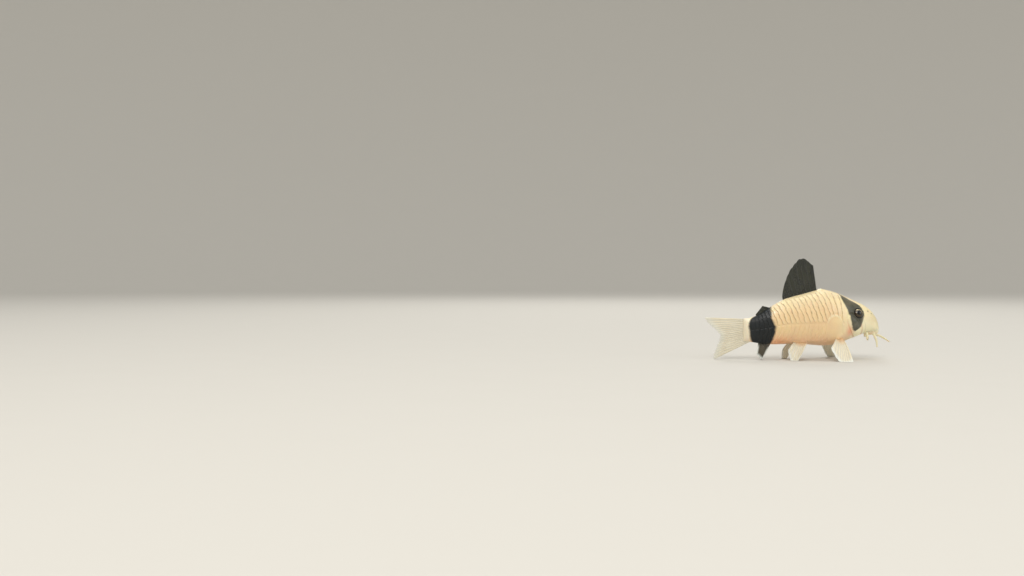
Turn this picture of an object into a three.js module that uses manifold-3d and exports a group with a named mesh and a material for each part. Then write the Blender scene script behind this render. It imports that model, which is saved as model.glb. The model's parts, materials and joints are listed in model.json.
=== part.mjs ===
// A panda corydoras catfish, life size, resting on its paired fins as a museum model does.
// Sizes are millimetres. +X points to the snout, +Y to the fish's left side and +Z up. The floor is at zero.

import * as THREE from "three";
import { mergeVertices } from "three/addons/utils/BufferGeometryUtils.js";
import Module from "manifold-3d";

const wasm = await Module();
wasm.setup();

// Driving sizes. A share is a distance from the snout tip as a part of the standard length.
const STANDARD_LENGTH = 38;
const GAP = 0.3;
const ROOT_DEPTH = 0.9;

// The tail swings to the left side along an arc that starts behind the widest part of the trunk.
const BEND_START = 0.4;
const BEND_END_ANGLE = THREE.MathUtils.degToRad(12);

// The body's sections: share, height of the back and of the belly, half width, how high the widest
// point stands as a part of the depth, and the squareness of the upper and of the lower half.
const SECTIONS = [
  [0.0, 8.6, 8.6, 0.0, 0.5, 1.0, 1.0],
  [0.011, 10.1, 7.8, 1.2, 0.48, 1.0, 0.95],
  [0.027, 11.9, 7.5, 1.85, 0.46, 1.0, 0.9],
  [0.065, 13.9, 7.6, 2.6, 0.44, 1.0, 0.88],
  [0.12, 15.5, 7.5, 3.25, 0.42, 1.02, 0.84],
  [0.196, 16.85, 6.5, 4.05, 0.42, 1.05, 0.78],
  [0.273, 18.1, 5.5, 4.7, 0.42, 1.08, 0.74],
  [0.338, 19.1, 4.65, 4.95, 0.42, 1.1, 0.72],
  [0.403, 19.8, 4.15, 4.95, 0.42, 1.12, 0.72],
  [0.463, 20.1, 4.05, 4.8, 0.42, 1.12, 0.72],
  [0.6, 18.8, 4.45, 4.15, 0.43, 1.1, 0.76],
  [0.725, 17.5, 4.5, 3.3, 0.45, 1.08, 0.82],
  [0.774, 16.65, 4.45, 2.95, 0.46, 1.06, 0.86],
  [0.823, 15.6, 4.4, 2.55, 0.47, 1.04, 0.9],
  [0.88, 14.2, 4.5, 2.1, 0.48, 1.02, 0.95],
  [0.938, 12.8, 4.75, 1.65, 0.5, 1.0, 1.0],
  [1.0, 11.9, 5.15, 1.2, 0.5, 1.0, 1.0],
];

// Bony scutes stand in two rows on each flank and overlap like roof tiles. Each has a low front,
// a raised middle and a high rear edge, and the two rows meet in a chevron that points forward.
const SCUTES = { count: 22, from: 0.3, to: 0.992, relief: 0.17, slantAbove: 0.085, slantBelow: 0.075 };
const SCUTE_STEPS = [
  [0.0, 0.0],
  [0.45, 0.75],
  [0.88, 1.0],
];

// The gill cover ends in a raised rim, where the head meets the trunk.
const GILL = { share: 0.266, from: 0.16, reach: 0.022, under: 0.03, width: 0.09, relief: 0.28 };
// The shoulder plate behind the gill opening carries the pectoral spine.
const SHOULDER = { from: 0.285, to: 0.36, relief: 0.22, edge: 0.02 };
const TAIL_SHARE = 0.8;

// Angles round a section from the back, as parts of a half turn.
const COLUMNS = [
  0, 0.05, 0.1, 0.14, 0.2, 0.27, 0.34, 0.41, 0.465, 0.5, 0.535, 0.6, 0.68, 0.76, 0.81, 0.9, 1,
];

const EYE = { share: 0.205, height: 13.35, radius: 1.55, depth: 1.15, sunk: 0.6 };
const NOSTRILS = [
  { share: 0.085, height: 13.1, radius: 0.2 },
  { share: 0.115, height: 13.8, radius: 0.24 },
];
const NOSTRIL_DEPTH = 0.5;
const NOSTRIL_RIM = 0.15;
const MOUTH = { share: 0.062, height: 7.35, width: 1.45, length: 0.9, lip: 0.46, gape: 0.22 };
const LIP_FLAP = { share: 0.045, height: 8.3, side: 1.25, long: 1.25, wide: 0.45, tall: 0.95, turn: 0.5 };
const LIP_SQUASH = 1.9;
const CHIN_DEPTH = 0.5;
// The raised rim round an eye: its tube, how far it is sunk and its radius as a part of the eye's.
const ORBIT = { tube: 0.3, sunk: 0.12, radius: 0.98 };

// Each barbel's root and its reach: forward, sideways and down. side is +1 on the left.
const BARBELS = [
  { name: "barbel_upper_right", side: -1, share: 0.062, out: 1.5, reach: [0.9, 0.9, 4.3], sag: 0.3 },
  { name: "barbel_upper_left", side: 1, share: 0.045, out: 1.45, reach: [7.0, 1.7, 3.2], sag: 0.8 },
  { name: "barbel_lower_right", side: -1, share: 0.112, out: 1.5, reach: [-0.3, 0.7, 2.1], sag: 0.2 },
  { name: "barbel_lower_left", side: 1, share: 0.082, out: 1.45, reach: [1.2, 1.0, 2.6], sag: 0.4 },
  { name: "barbel_chin_right", side: -1, share: 0.1, out: 0.62, reach: [-0.2, 0.25, 1.5], sag: 0.1 },
  { name: "barbel_chin_left", side: 1, share: 0.1, out: 0.62, reach: [0.1, 0.25, 1.5], sag: 0.1 },
];
const BARBEL = { radius: 0.33, tip: 0.13, height: 7.75, steps: 8, sides: 8, root: 0.5 };

// Fins. A fin's skin is thick enough to hold, its rays stand up as ridges, and its margin is thin.
const FIN = { half: 0.25, ridge: 0.15, edge: 0.12, fleshy: 0.22, fleshyTo: 0.2, notch: 0.025 };
const FIN_ROWS = [0, 0.18, 0.45, 0.72, 0.92, 1];
// The dorsal fin's third ray is its longest, and the ones behind it shorten ever faster.
const DORSAL = {
  from: 0.49,
  to: 0.747,
  rays: 8,
  length: 10.9,
  spine: 0.765,
  longestAt: 0.34,
  fall: 0.918,
  fallPower: 1.9,
  lean: 9,
  leanMore: 14,
  wave: 0.35,
  waves: 2.6,
  waveStart: 0.4,
};
const ADIPOSE = { from: 0.825, to: 0.942, rays: 3, length: 3.0, angle: -8, rise: 0.25 };
// The anal fin is a rounded leaf: its rays lengthen to the second and then shorten slowly.
const ANAL = {
  from: 0.832,
  to: 0.932,
  rays: 7,
  length: 5.35,
  lean: 33,
  leanMore: -24,
  peak: 0.36,
  spread: 0.5,
  shortest: 0.66,
};
const CAUDAL = {
  rays: 7,
  upperLength: 13.2,
  lowerLength: 12,
  middle: 0.64,
  upper: 2,
  lower: -29,
  axis: -12,
  curl: 0.9,
  top: 11.6,
  bottom: 5.45,
  fork: 1.4,
  fanPower: 0.85,
  outerRay: 0.9,
};
// A paired fin's ray tips run from its leading to its trailing ray: forward, outward and down.
// The left pectoral fin has stepped forward and the right one carries the fish.
const PECTORAL = {
  from: 0.335,
  to: 0.375,
  angle: 0.71,
  rays: 8,
  right: [
    [0.3, 6.4, 6.4],
    [-1.6, 5.6, 7.4],
    [-3.1, 2.5, 2.6],
  ],
  left: [
    [5.4, 6.4, 6.4],
    [3.6, 5.9, 7.4],
    [0.4, 3.0, 2.8],
  ],
};
const PELVIC = {
  from: 0.572,
  to: 0.666,
  angle: 0.86,
  rays: 6,
  right: [
    [-4.1, 2.8, 4.0],
    [-3.7, 2.2, 6.3],
    [-2.5, 0.3, 2.0],
  ],
  left: [
    [-4.0, 3.2, 4.9],
    [-3.9, 2.4, 6.4],
    [-2.7, 0.4, 2.3],
  ],
};
// A paired fin arches outwards and up between its root and its tips.
const ARCH = { out: 0.5, up: 0.25 };

const COLOURS = {
  skin: { color: 0xe6c58f, roughness: 0.45, metalness: 0 },
  mask: { color: 0xdcbb88, roughness: 0.45, metalness: 0 },
  darkFin: { color: 0x2e2f26, roughness: 0.5, metalness: 0 },
  clearFin: { color: 0xe9dfba, roughness: 0.35, metalness: 0 },
  barbel: { color: 0xefe6c8, roughness: 0.4, metalness: 0 },
  eye: { color: 0x15140f, roughness: 0.08, metalness: 0 },
};

// A smooth step from 0 at a to 1 at b.
function rise(value, a, b) {
  const t = Math.min(1, Math.max(0, (value - a) / (b - a)));
  return t * t * (3 - 2 * t);
}

// Reads one column of the sections. The curve runs over the root of the share, which rounds the snout.
function sectionValue(share, column) {
  const at = Math.sqrt(Math.min(1, Math.max(0, share)));
  const knots = SECTIONS.map((row) => Math.sqrt(row[0]));
  let i = knots.findIndex((k) => k >= at) - 1;
  i = Math.max(0, i);
  const slope = (k) => {
    const a = Math.max(0, k - 1);
    const b = Math.min(SECTIONS.length - 1, k + 1);
    return (SECTIONS[b][column] - SECTIONS[a][column]) / (knots[b] - knots[a]);
  };
  const span = knots[i + 1] - knots[i];
  const t = (at - knots[i]) / span;
  const [p, q] = [SECTIONS[i][column], SECTIONS[i + 1][column]];
  return (
    p * (2 * t ** 3 - 3 * t ** 2 + 1) +
    q * (3 * t ** 2 - 2 * t ** 3) +
    slope(i) * span * (t ** 3 - 2 * t ** 2 + t) +
    slope(i + 1) * span * (t ** 3 - t ** 2)
  );
}

// The spine's place and the direction of the left side at a share. It is straight, then a round arc.
function spineAt(share) {
  const along = share * STANDARD_LENGTH;
  const start = BEND_START * STANDARD_LENGTH;
  const radius = (STANDARD_LENGTH - start) / BEND_END_ANGLE;
  const angle = Math.max(0, along - start) / radius;
  return {
    x: -(Math.min(along, start) + radius * Math.sin(angle)),
    y: radius * (1 - Math.cos(angle)),
    left: new THREE.Vector3(Math.sin(angle), Math.cos(angle), 0),
    back: new THREE.Vector3(-Math.cos(angle), Math.sin(angle), 0),
  };
}

// A point on the body. turn is the angle from the back as a part of a half turn, and side +1 is left.
function bodyPoint(share, turn, side, lift = 0) {
  const [top, bottom, half, wide, upper, lower] = [1, 2, 3, 4, 5, 6].map((c) => sectionValue(share, c));
  const middle = bottom + wide * (top - bottom);
  const angle = turn * Math.PI;
  const above = angle <= Math.PI / 2;
  const height = above ? top - middle : middle - bottom;
  const power = above ? upper : lower;
  const [s, c] = [Math.max(0, Math.sin(angle)), Math.abs(Math.cos(angle))];
  const normal = new THREE.Vector2(s * Math.max(height, 0.1), (above ? c : -c) * Math.max(half, 0.1));
  normal.normalize();
  const out = half * s ** power + lift * normal.x;
  const up = middle + (above ? 1 : -1) * height * c ** power + lift * normal.y;
  const spine = spineAt(share);
  return new THREE.Vector3(spine.x, spine.y, up).addScaledVector(spine.left, side * out);
}

// The direction that points out of the body at a share and turn.
function bodyNormal(share, turn, side) {
  return bodyPoint(share, turn, side, 1).sub(bodyPoint(share, turn, side, 0)).normalize();
}

// The turn at which the side of the body stands at a height.
function turnAtHeight(share, height) {
  let [low, high] = [0.02, 0.98];
  for (let i = 0; i < 30; i++) {
    const middle = (low + high) / 2;
    if (bodyPoint(share, middle, 1).z > height) low = middle;
    else high = middle;
  }
  return (low + high) / 2;
}

// Rings lean into chevrons along the flank and bow backwards round the gill cover.
function ringShare(share, turn) {
  const above = Math.max(0, 1 - 2 * turn);
  const below = Math.min(0.6, Math.max(0, 2 * turn - 1));
  const chevron = rise(share, 0.28, 0.42) * (1 - rise(share, 0.72, 1));
  const gill = Math.exp(-(((share - GILL.share) / GILL.width) ** 2));
  const cover = GILL.reach * Math.exp(-(((turn - 0.5) / 0.2) ** 2)) - GILL.under * rise(turn, 0.6, 0.95);
  const slant = SCUTES.slantAbove * above + SCUTES.slantBelow * below;
  return share + chevron * slant + gill * cover * (share < SCUTES.to ? 1 : 0);
}

// How far the scutes, gill cover and shoulder plate stand out. step is the ring's height in its scute.
function reliefAt(share, turn, step) {
  const beltBottom = share > 0.74 ? 0.93 : 0.79;
  const inRow = turn > 0.11 && turn < beltBottom && Math.abs(turn - 0.5) > 0.01 ? 1 : 0;
  const scutes = step * inRow * SCUTES.relief * (share > 0.94 ? 0.6 : 1);
  const cover = rise(share, GILL.from, GILL.share) * (share <= GILL.share + 1e-6 ? 1 : 0);
  const gill = GILL.relief * cover * rise(turn, 0.33, 0.44) * (1 - rise(turn, 0.74, 0.86));
  const front = rise(share, SHOULDER.from - SHOULDER.edge, SHOULDER.from + SHOULDER.edge);
  const plate = front * (1 - rise(share, SHOULDER.to - SHOULDER.edge, SHOULDER.to));
  const shoulder = SHOULDER.relief * plate * rise(turn, 0.48, 0.58) * (1 - rise(turn, 0.78, 0.9));
  return scutes + gill + shoulder;
}

// One ring of points round the body, from the back down the left side and up the right side.
function ring({ share, step }, lift = 0) {
  const at = (turn, side) => {
    const bowed = Math.min(1, ringShare(share, turn));
    return bodyPoint(bowed, turn, side, lift + reliefAt(share, turn, step));
  };
  const left = COLUMNS.map((turn) => at(turn, 1));
  const right = COLUMNS.slice(1, -1).reverse().map((turn) => at(turn, -1));
  return [...left, ...right];
}

// Ring stations of the head, then of the scutes.
const HEAD_RINGS = 17;
const headStations = Array.from({ length: HEAD_RINGS }, (_, i) => ({
  share: GILL.share * ((i + 1) / HEAD_RINGS) ** 1.7,
  step: 0,
}));
const scutePitch = (SCUTES.to - SCUTES.from) / SCUTES.count;
const scuteStations = [];
for (let k = 0; k < SCUTES.count; k++)
  for (const [phase, step] of SCUTE_STEPS)
    scuteStations.push({ share: SCUTES.from + (k + phase) * scutePitch, step });
const gapShare = GAP / STANDARD_LENGTH;
const neckStations = [
  { share: GILL.share + gapShare, step: 0 },
  { share: GILL.share + 2 * gapShare, step: 0 },
];
const endStation = { share: 1, step: 0 };

// Joins rings of equal length into one closed body. Each end closes on a middle point.
function loft(rings) {
  const count = rings[0].length;
  const middle = (points) => points.reduce((sum, p) => sum.add(p), new THREE.Vector3()).divideScalar(count);
  const points = [...rings.flat(), middle(rings[0]), middle(rings.at(-1))];
  const [first, last] = [points.length - 2, points.length - 1];
  const faces = [];
  for (let j = 0; j < count; j++) {
    const k = (j + 1) % count;
    for (let i = 0; i + 1 < rings.length; i++) {
      const [a, b] = [i * count + j, i * count + k];
      faces.push(a, b + count, b, a, a + count, b + count);
    }
    const end = (rings.length - 1) * count;
    faces.push(first, j, k, last, end + k, end + j);
  }
  return solid(points, faces);
}

// A solid from points and faces, turned so that its faces point out.
function solid(points, faces) {
  const geometry = new THREE.BufferGeometry().setFromPoints(points).setIndex(faces);
  return solidOf(geometry);
}

function solidOf(geometry) {
  geometry.deleteAttribute("normal");
  geometry.deleteAttribute("uv");
  const merged = mergeVertices(geometry, 1e-4);
  const vertProperties = merged.getAttribute("position").array;
  const triVerts = new Uint32Array(merged.index.array);
  const made = new wasm.Manifold(new wasm.Mesh({ numProp: 3, vertProperties, triVerts }));
  if (made.volume() > 0) return made;
  for (let i = 0; i < triVerts.length; i += 3)
    [triVerts[i + 1], triVerts[i + 2]] = [triVerts[i + 2], triVerts[i + 1]];
  return new wasm.Manifold(new wasm.Mesh({ numProp: 3, vertProperties, triVerts }));
}

// The largest closed piece of a solid.
function largest(shape) {
  return shape.decompose().reduce((a, b) => (a.volume() > b.volume() ? a : b));
}

function meshOf(name, shape, look) {
  const { vertProperties, triVerts } = largest(shape).getMesh();
  const geometry = new THREE.BufferGeometry();
  geometry.setAttribute("position", new THREE.BufferAttribute(vertProperties, 3));
  geometry.setIndex(new THREE.BufferAttribute(triVerts, 1));
  geometry.computeVertexNormals();
  const mesh = new THREE.Mesh(geometry, new THREE.MeshStandardMaterial(COLOURS[look]));
  mesh.name = name;
  return mesh;
}

// A ball squashed along its own Z, moved so that Z points along a direction.
function ball(centre, direction, radius, depth, detail = 10) {
  const geometry = new THREE.SphereGeometry(radius, detail + 6, detail);
  geometry.scale(1, 1, depth / radius);
  const turn = new THREE.Quaternion().setFromUnitVectors(new THREE.Vector3(0, 0, 1), direction);
  geometry.applyQuaternion(turn);
  geometry.translate(centre.x, centre.y, centre.z);
  return solidOf(geometry);
}

// A solid whose own Z is turned along a direction and whose middle is moved to a centre.
function along(geometry, centre, direction) {
  const turn = new THREE.Quaternion().setFromUnitVectors(new THREE.Vector3(0, 0, 1), direction);
  geometry.applyQuaternion(turn);
  geometry.translate(centre.x, centre.y, centre.z);
  return solidOf(geometry);
}

// The body whole, grown by the gap, cuts every piece that grows from it.
const allStations = [...headStations, ...neckStations, ...scuteStations, endStation];
const clearance = loft([
  Array.from({ length: 2 * (COLUMNS.length - 1) }, () => new THREE.Vector3(GAP, 0, SECTIONS[0][1])),
  ...allStations.map((station) => ring(station, GAP)),
  ring(endStation, GAP).map((p) => p.addScaledVector(spineAt(1).back, GAP)),
]);

// Eyes.
function eyePlace(side) {
  const turn = turnAtHeight(EYE.share, EYE.height);
  const normal = bodyNormal(EYE.share, turn, side);
  return { centre: bodyPoint(EYE.share, turn, side, -EYE.sunk), normal };
}

function eye(side) {
  const { centre, normal } = eyePlace(side);
  return ball(centre, normal, EYE.radius, EYE.depth);
}

// Head.
const SNOUT_TIP = new THREE.Vector3(0, 0, SECTIONS[0][1]);

// The lips and the fleshy flaps at the corners of the mouth, grown by a lift.
function mouthParts(lift = 0) {
  const x = -MOUTH.share * STANDARD_LENGTH;
  const lips = new THREE.TorusGeometry(1, (MOUTH.lip + lift) / MOUTH.width, 8, 20);
  lips.scale(MOUTH.length, MOUTH.width, (MOUTH.lip + lift) * LIP_SQUASH);
  lips.translate(x, 0, MOUTH.height);
  const flaps = [1, -1].map((side) => {
    const flap = new THREE.SphereGeometry(1, 12, 10);
    flap.scale(LIP_FLAP.long + lift, LIP_FLAP.wide + lift, LIP_FLAP.tall + lift);
    flap.rotateY(LIP_FLAP.turn);
    flap.translate(-LIP_FLAP.share * STANDARD_LENGTH, side * LIP_FLAP.side, LIP_FLAP.height);
    return solidOf(flap);
  });
  return flaps.reduce((sum, flap) => sum.add(flap), solidOf(lips));
}

function head() {
  const tip = Array.from({ length: 2 * (COLUMNS.length - 1) }, () => SNOUT_TIP.clone());
  let shape = loft([tip, ...headStations.map((station) => ring(station))]).add(mouthParts());
  const chin = new THREE.SphereGeometry(1, 16, 10);
  chin.scale(MOUTH.length, MOUTH.width, CHIN_DEPTH);
  chin.translate(-MOUTH.share * STANDARD_LENGTH, 0, MOUTH.height + MOUTH.gape);
  shape = shape.add(solidOf(chin));
  for (const side of [1, -1]) {
    for (const hole of NOSTRILS) {
      const turn = turnAtHeight(hole.share, hole.height);
      const normal = bodyNormal(hole.share, turn, side);
      const rim = new THREE.TorusGeometry(hole.radius + NOSTRIL_RIM * 0.6, NOSTRIL_RIM, 6, 12);
      shape = shape.add(along(rim, bodyPoint(hole.share, turn, side), normal));
      const bore = new THREE.CylinderGeometry(hole.radius, hole.radius, 2 * NOSTRIL_DEPTH, 10);
      bore.rotateX(Math.PI / 2);
      shape = shape.subtract(along(bore, bodyPoint(hole.share, turn, side), normal));
    }
    const { centre, normal } = eyePlace(side);
    const orbit = new THREE.TorusGeometry(EYE.radius * ORBIT.radius, ORBIT.tube, 5, 16);
    shape = shape.add(along(orbit, centre.clone().addScaledVector(normal, EYE.sunk - ORBIT.sunk), normal));
    shape = shape.subtract(ball(centre, normal, EYE.radius + GAP, EYE.depth + GAP));
  }
  return shape;
}

// Barbels taper along a curve that sags a little.
function barbel({ side, share, out, reach, sag }) {
  const root = new THREE.Vector3(-share * STANDARD_LENGTH, side * out, BARBEL.height);
  const tip = root.clone().add(new THREE.Vector3(reach[0], side * reach[1], -reach[2]));
  const inward = new THREE.Vector3(-Math.sign(reach[0]) * 0.15, -side * 0.25, BARBEL.root);
  const knee = root.clone().lerp(tip, 0.5).add(new THREE.Vector3(sag, side * sag * 0.6, 0));
  const curve = new THREE.CatmullRomCurve3([root.clone().add(inward), root, knee, tip]);
  const frames = curve.computeFrenetFrames(BARBEL.steps);
  const rings = Array.from({ length: BARBEL.steps + 1 }, (_, i) => {
    const centre = curve.getPointAt(i / BARBEL.steps);
    const radius = THREE.MathUtils.lerp(BARBEL.radius, BARBEL.tip, (i / BARBEL.steps) ** 1.3);
    return Array.from({ length: BARBEL.sides }, (__, j) => {
      const angle = (2 * Math.PI * j) / BARBEL.sides;
      return centre
        .clone()
        .addScaledVector(frames.normals[i], radius * Math.cos(angle))
        .addScaledVector(frames.binormals[i], radius * Math.sin(angle));
    });
  });
  return loft(rings);
}

// Fins that reach the floor end there in small flats.
const room = new THREE.BoxGeometry(4 * STANDARD_LENGTH, 4 * STANDARD_LENGTH, 2 * STANDARD_LENGTH);
room.translate(0, 0, STANDARD_LENGTH);
const aboveFloor = solidOf(room);

// The columns of a fin: each ray has a crest between two low sides, with its first ray as the spine.
function finColumns(rays, spineCrest) {
  const columns = [{ u: 0, crest: 0.2, tip: true }];
  for (let i = 0; i < rays; i++) {
    const centre = (i + 0.5) / rays;
    const half = 0.2 / rays;
    if (i === 0)
      columns.push(
        { u: 0.3 / rays, crest: spineCrest, tip: true },
        { u: 0.62 / rays, crest: 0, tip: false },
      );
    else
      columns.push(
        { u: centre - half, crest: 0, tip: false },
        { u: centre, crest: 1, tip: true },
        { u: centre + half, crest: 0, tip: false },
      );
  }
  columns.push({ u: 1, crest: 0, tip: true });
  return columns;
}

// A fin is a sheet between its root line and its tip line, bowed sideways, with a thickness that
// follows its rays. rootAt and tipAt give points for u from 0 at the leading ray to 1 at the last.
function fin({ rays, spineCrest = 2, rootAt, tipAt, bowAt = () => new THREE.Vector3() }) {
  const columns = finColumns(rays, spineCrest);
  const middle = (u, v, tip) => {
    const root = rootAt(u);
    const reach = tipAt(u).sub(root).multiplyScalar(tip ? 1 : 1 - FIN.notch);
    return root.addScaledVector(reach, v).add(bowAt(u, v));
  };
  const faces = [1, -1].map((side) =>
    columns.map(({ u, crest, tip }) =>
      FIN_ROWS.map((v) => {
        const step = 0.01;
        const [u0, u1] = [Math.max(0, u - step), Math.min(1, u + step)];
        const [v0, v1] = [Math.max(0, v - step), Math.min(1, v + step)];
        const across = middle(u1, v, true).sub(middle(u0, v, true));
        const outward = middle(u, v1, tip).sub(middle(u, v0, tip));
        const normal = across.cross(outward).normalize();
        const fleshy = FIN.fleshy * (1 - Math.min(1, v / FIN.fleshyTo));
        const body = FIN.half + FIN.ridge * crest * (1 - 0.55 * v) + fleshy;
        const half = THREE.MathUtils.lerp(body, FIN.edge, rise(v, 0.8, 1.02));
        return middle(u, v, tip).addScaledVector(normal, side * half);
      }),
    ),
  );
  const [c, r] = [columns.length, FIN_ROWS.length];
  const points = faces.flat(2);
  const index = (side, i, j) => side * c * r + i * r + j;
  const triangles = [];
  const quad = (a, b, d, e) => triangles.push(a, b, d, a, d, e);
  for (let i = 0; i + 1 < c; i++)
    for (let j = 0; j + 1 < r; j++) {
      quad(index(0, i, j), index(0, i + 1, j), index(0, i + 1, j + 1), index(0, i, j + 1));
      const [a, b, d, e] = [index(1, i, j), index(1, i + 1, j), index(1, i + 1, j + 1), index(1, i, j + 1)];
      triangles.push(a, d, b, a, e, d);
    }
  for (let i = 0; i + 1 < c; i++) {
    quad(index(0, i, 0), index(1, i, 0), index(1, i + 1, 0), index(0, i + 1, 0));
    quad(index(0, i + 1, r - 1), index(1, i + 1, r - 1), index(1, i, r - 1), index(0, i, r - 1));
  }
  for (let j = 0; j + 1 < r; j++) {
    quad(index(0, 0, j + 1), index(1, 0, j + 1), index(1, 0, j), index(0, 0, j));
    quad(index(0, c - 1, j), index(1, c - 1, j), index(1, c - 1, j + 1), index(0, c - 1, j + 1));
  }
  return solid(points, triangles).subtract(clearance).intersect(aboveFloor);
}

const radians = THREE.MathUtils.degToRad;

// A point in the upright plane of the tail or back, from a body share: back along it and up.
function inPlane(share, back, height) {
  const spine = spineAt(share);
  return new THREE.Vector3(spine.x, spine.y, height).addScaledVector(spine.back, back);
}

function dorsalFin() {
  const shareAt = (u) => THREE.MathUtils.lerp(DORSAL.from, DORSAL.to, u);
  const lengthAt = (u) => {
    const front = THREE.MathUtils.lerp(DORSAL.spine, 1, rise(u, 0, DORSAL.longestAt));
    return DORSAL.length * front * (1 - DORSAL.fall * u ** DORSAL.fallPower);
  };
  const back = (u) => sectionValue(shareAt(u), 1);
  return fin({
    rays: DORSAL.rays,
    rootAt: (u) => inPlane(shareAt(u), 0, back(u) - ROOT_DEPTH),
    tipAt: (u) => {
      const lean = radians(DORSAL.lean + DORSAL.leanMore * u);
      return inPlane(shareAt(u), lengthAt(u) * Math.sin(lean), back(u) + lengthAt(u) * Math.cos(lean));
    },
    bowAt: (u, v) => {
      return new THREE.Vector3(0, DORSAL.wave * Math.sin(DORSAL.waves * u + DORSAL.waveStart) * v ** 2, 0);
    },
  });
}

function adiposeFin() {
  const shareAt = (u) => THREE.MathUtils.lerp(ADIPOSE.from, ADIPOSE.to, u);
  const back = (u) => sectionValue(shareAt(u), 1);
  const spineTip = inPlane(
    ADIPOSE.from,
    ADIPOSE.length * Math.cos(radians(ADIPOSE.angle)),
    back(0) + ADIPOSE.rise + ADIPOSE.length * Math.sin(radians(ADIPOSE.angle)),
  );
  return fin({
    rays: ADIPOSE.rays,
    spineCrest: 1.6,
    rootAt: (u) => inPlane(shareAt(u), 0, back(u) - ROOT_DEPTH),
    tipAt: (u) => spineTip.clone().lerp(inPlane(shareAt(1), 0.5, back(1) + 0.15), rise(u, 0, 1)),
  });
}

function analFin() {
  const shareAt = (u) => THREE.MathUtils.lerp(ANAL.from, ANAL.to, u);
  const belly = (u) => sectionValue(shareAt(u), 2);
  return fin({
    rays: ANAL.rays,
    spineCrest: 1.2,
    rootAt: (u) => inPlane(shareAt(u), 0, belly(u) + ROOT_DEPTH),
    tipAt: (u) => {
      const lean = radians(ANAL.lean + ANAL.leanMore * u);
      const full = Math.sin(Math.PI * Math.min(1, ANAL.peak + ANAL.spread * u)) ** 0.8;
      const length = ANAL.length * THREE.MathUtils.lerp(full, ANAL.shortest, u);
      return inPlane(shareAt(u), length * Math.sin(lean), belly(u) - length * Math.cos(lean));
    },
  });
}

// Half of the tail fin, from its outer ray to the fork. outer is the outer ray's angle above the level.
function tailLobe(outer, side) {
  const halfGap = side * 0.62 * GAP;
  const middleHeight = (CAUDAL.top + CAUDAL.bottom) / 2 + halfGap;
  const rootHeight = (u) => THREE.MathUtils.lerp(side > 0 ? CAUDAL.top : CAUDAL.bottom, middleHeight, u);
  const longest = side > 0 ? CAUDAL.upperLength : CAUDAL.lowerLength;
  const curl = (back) => CAUDAL.curl * (back / longest) ** 2;
  const place = (back, height) => {
    return inPlane(1, back, height).addScaledVector(spineAt(1).left, curl(Math.max(0, back)));
  };
  return fin({
    rays: CAUDAL.rays,
    spineCrest: 1.3,
    rootAt: (u) => place(-ROOT_DEPTH, rootHeight(u)),
    tipAt: (u) => {
      const angle = radians(THREE.MathUtils.lerp(outer, CAUDAL.axis, u ** CAUDAL.fanPower));
      const lobe = (1 - u) ** CAUDAL.fork * THREE.MathUtils.lerp(CAUDAL.outerRay, 1, rise(u, 0, 0.2));
      const length = THREE.MathUtils.lerp(CAUDAL.middle * CAUDAL.upperLength, longest, lobe);
      const height = rootHeight(u) + length * Math.sin(angle) + halfGap * u;
      return place(length * Math.cos(angle), height);
    },
  });
}

// A paired fin's tips follow a curve through its leading, middle and trailing ray tips.
function pairedFin({ from, to, angle, rays, left, right }, side) {
  const tips = side > 0 ? left : right;
  const shareAt = (u) => THREE.MathUtils.lerp(from, to, u);
  const reach = (u) => {
    const weights = [(1 - u) * (1 - 2 * u), 4 * u * (1 - u), u * (2 * u - 1)];
    const [forward, out, down] = [0, 1, 2].map((k) => tips.reduce((sum, t, i) => sum + weights[i] * t[k], 0));
    return new THREE.Vector3(forward, side * out, -down);
  };
  return fin({
    rays,
    spineCrest: 2.2,
    rootAt: (u) => bodyPoint(shareAt(u), angle, side, -ROOT_DEPTH),
    tipAt: (u) => bodyPoint(shareAt(u), angle, side).add(reach(u)),
    bowAt: (u, v) => new THREE.Vector3(0, side * ARCH.out, ARCH.up).multiplyScalar(Math.sin(Math.PI * v)),
  });
}

const fish = new THREE.Group();
const trunkStations = [...neckStations, ...scuteStations.filter(({ share }) => share < TAIL_SHARE)];
const tailStart = trunkStations.at(-1).share + gapShare;
const tailStations = [
  { share: tailStart, step: 0 },
  ...scuteStations.filter(({ share }) => share > tailStart + 0.004),
  endStation,
];
fish.add(
  meshOf("head", head(), "mask"),
  meshOf("trunk", loft(trunkStations.map((station) => ring(station))), "skin"),
  meshOf("tail", loft(tailStations.map((station) => ring(station))), "skin"),
  meshOf("eye_left", eye(1), "eye"),
  meshOf("eye_right", eye(-1), "eye"),
  meshOf("fin_dorsal", dorsalFin(), "darkFin"),
  meshOf("fin_adipose", adiposeFin(), "darkFin"),
  meshOf("fin_anal", analFin(), "clearFin"),
  meshOf("fin_tail_upper", tailLobe(CAUDAL.upper, 1), "clearFin"),
  meshOf("fin_tail_lower", tailLobe(CAUDAL.lower, -1), "clearFin"),
);
for (const [name, sizes] of [["pectoral", PECTORAL], ["pelvic", PELVIC]])
  for (const [hand, side] of [["left", 1], ["right", -1]])
    fish.add(meshOf(`fin_${name}_${hand}`, pairedFin(sizes, side), "clearFin"));
const mouthClearance = clearance.add(mouthParts(GAP));
for (const sizes of BARBELS) fish.add(meshOf(sizes.name, barbel(sizes).subtract(mouthClearance), "barbel"));

// The frame's origin is the middle of the outline on the floor.
const box = new THREE.Box3().setFromObject(fish);
fish.position.set(-(box.min.x + box.max.x) / 2, -(box.min.y + box.max.y) / 2, -box.min.z);
fish.updateMatrixWorld(true);

export default fish;
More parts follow.
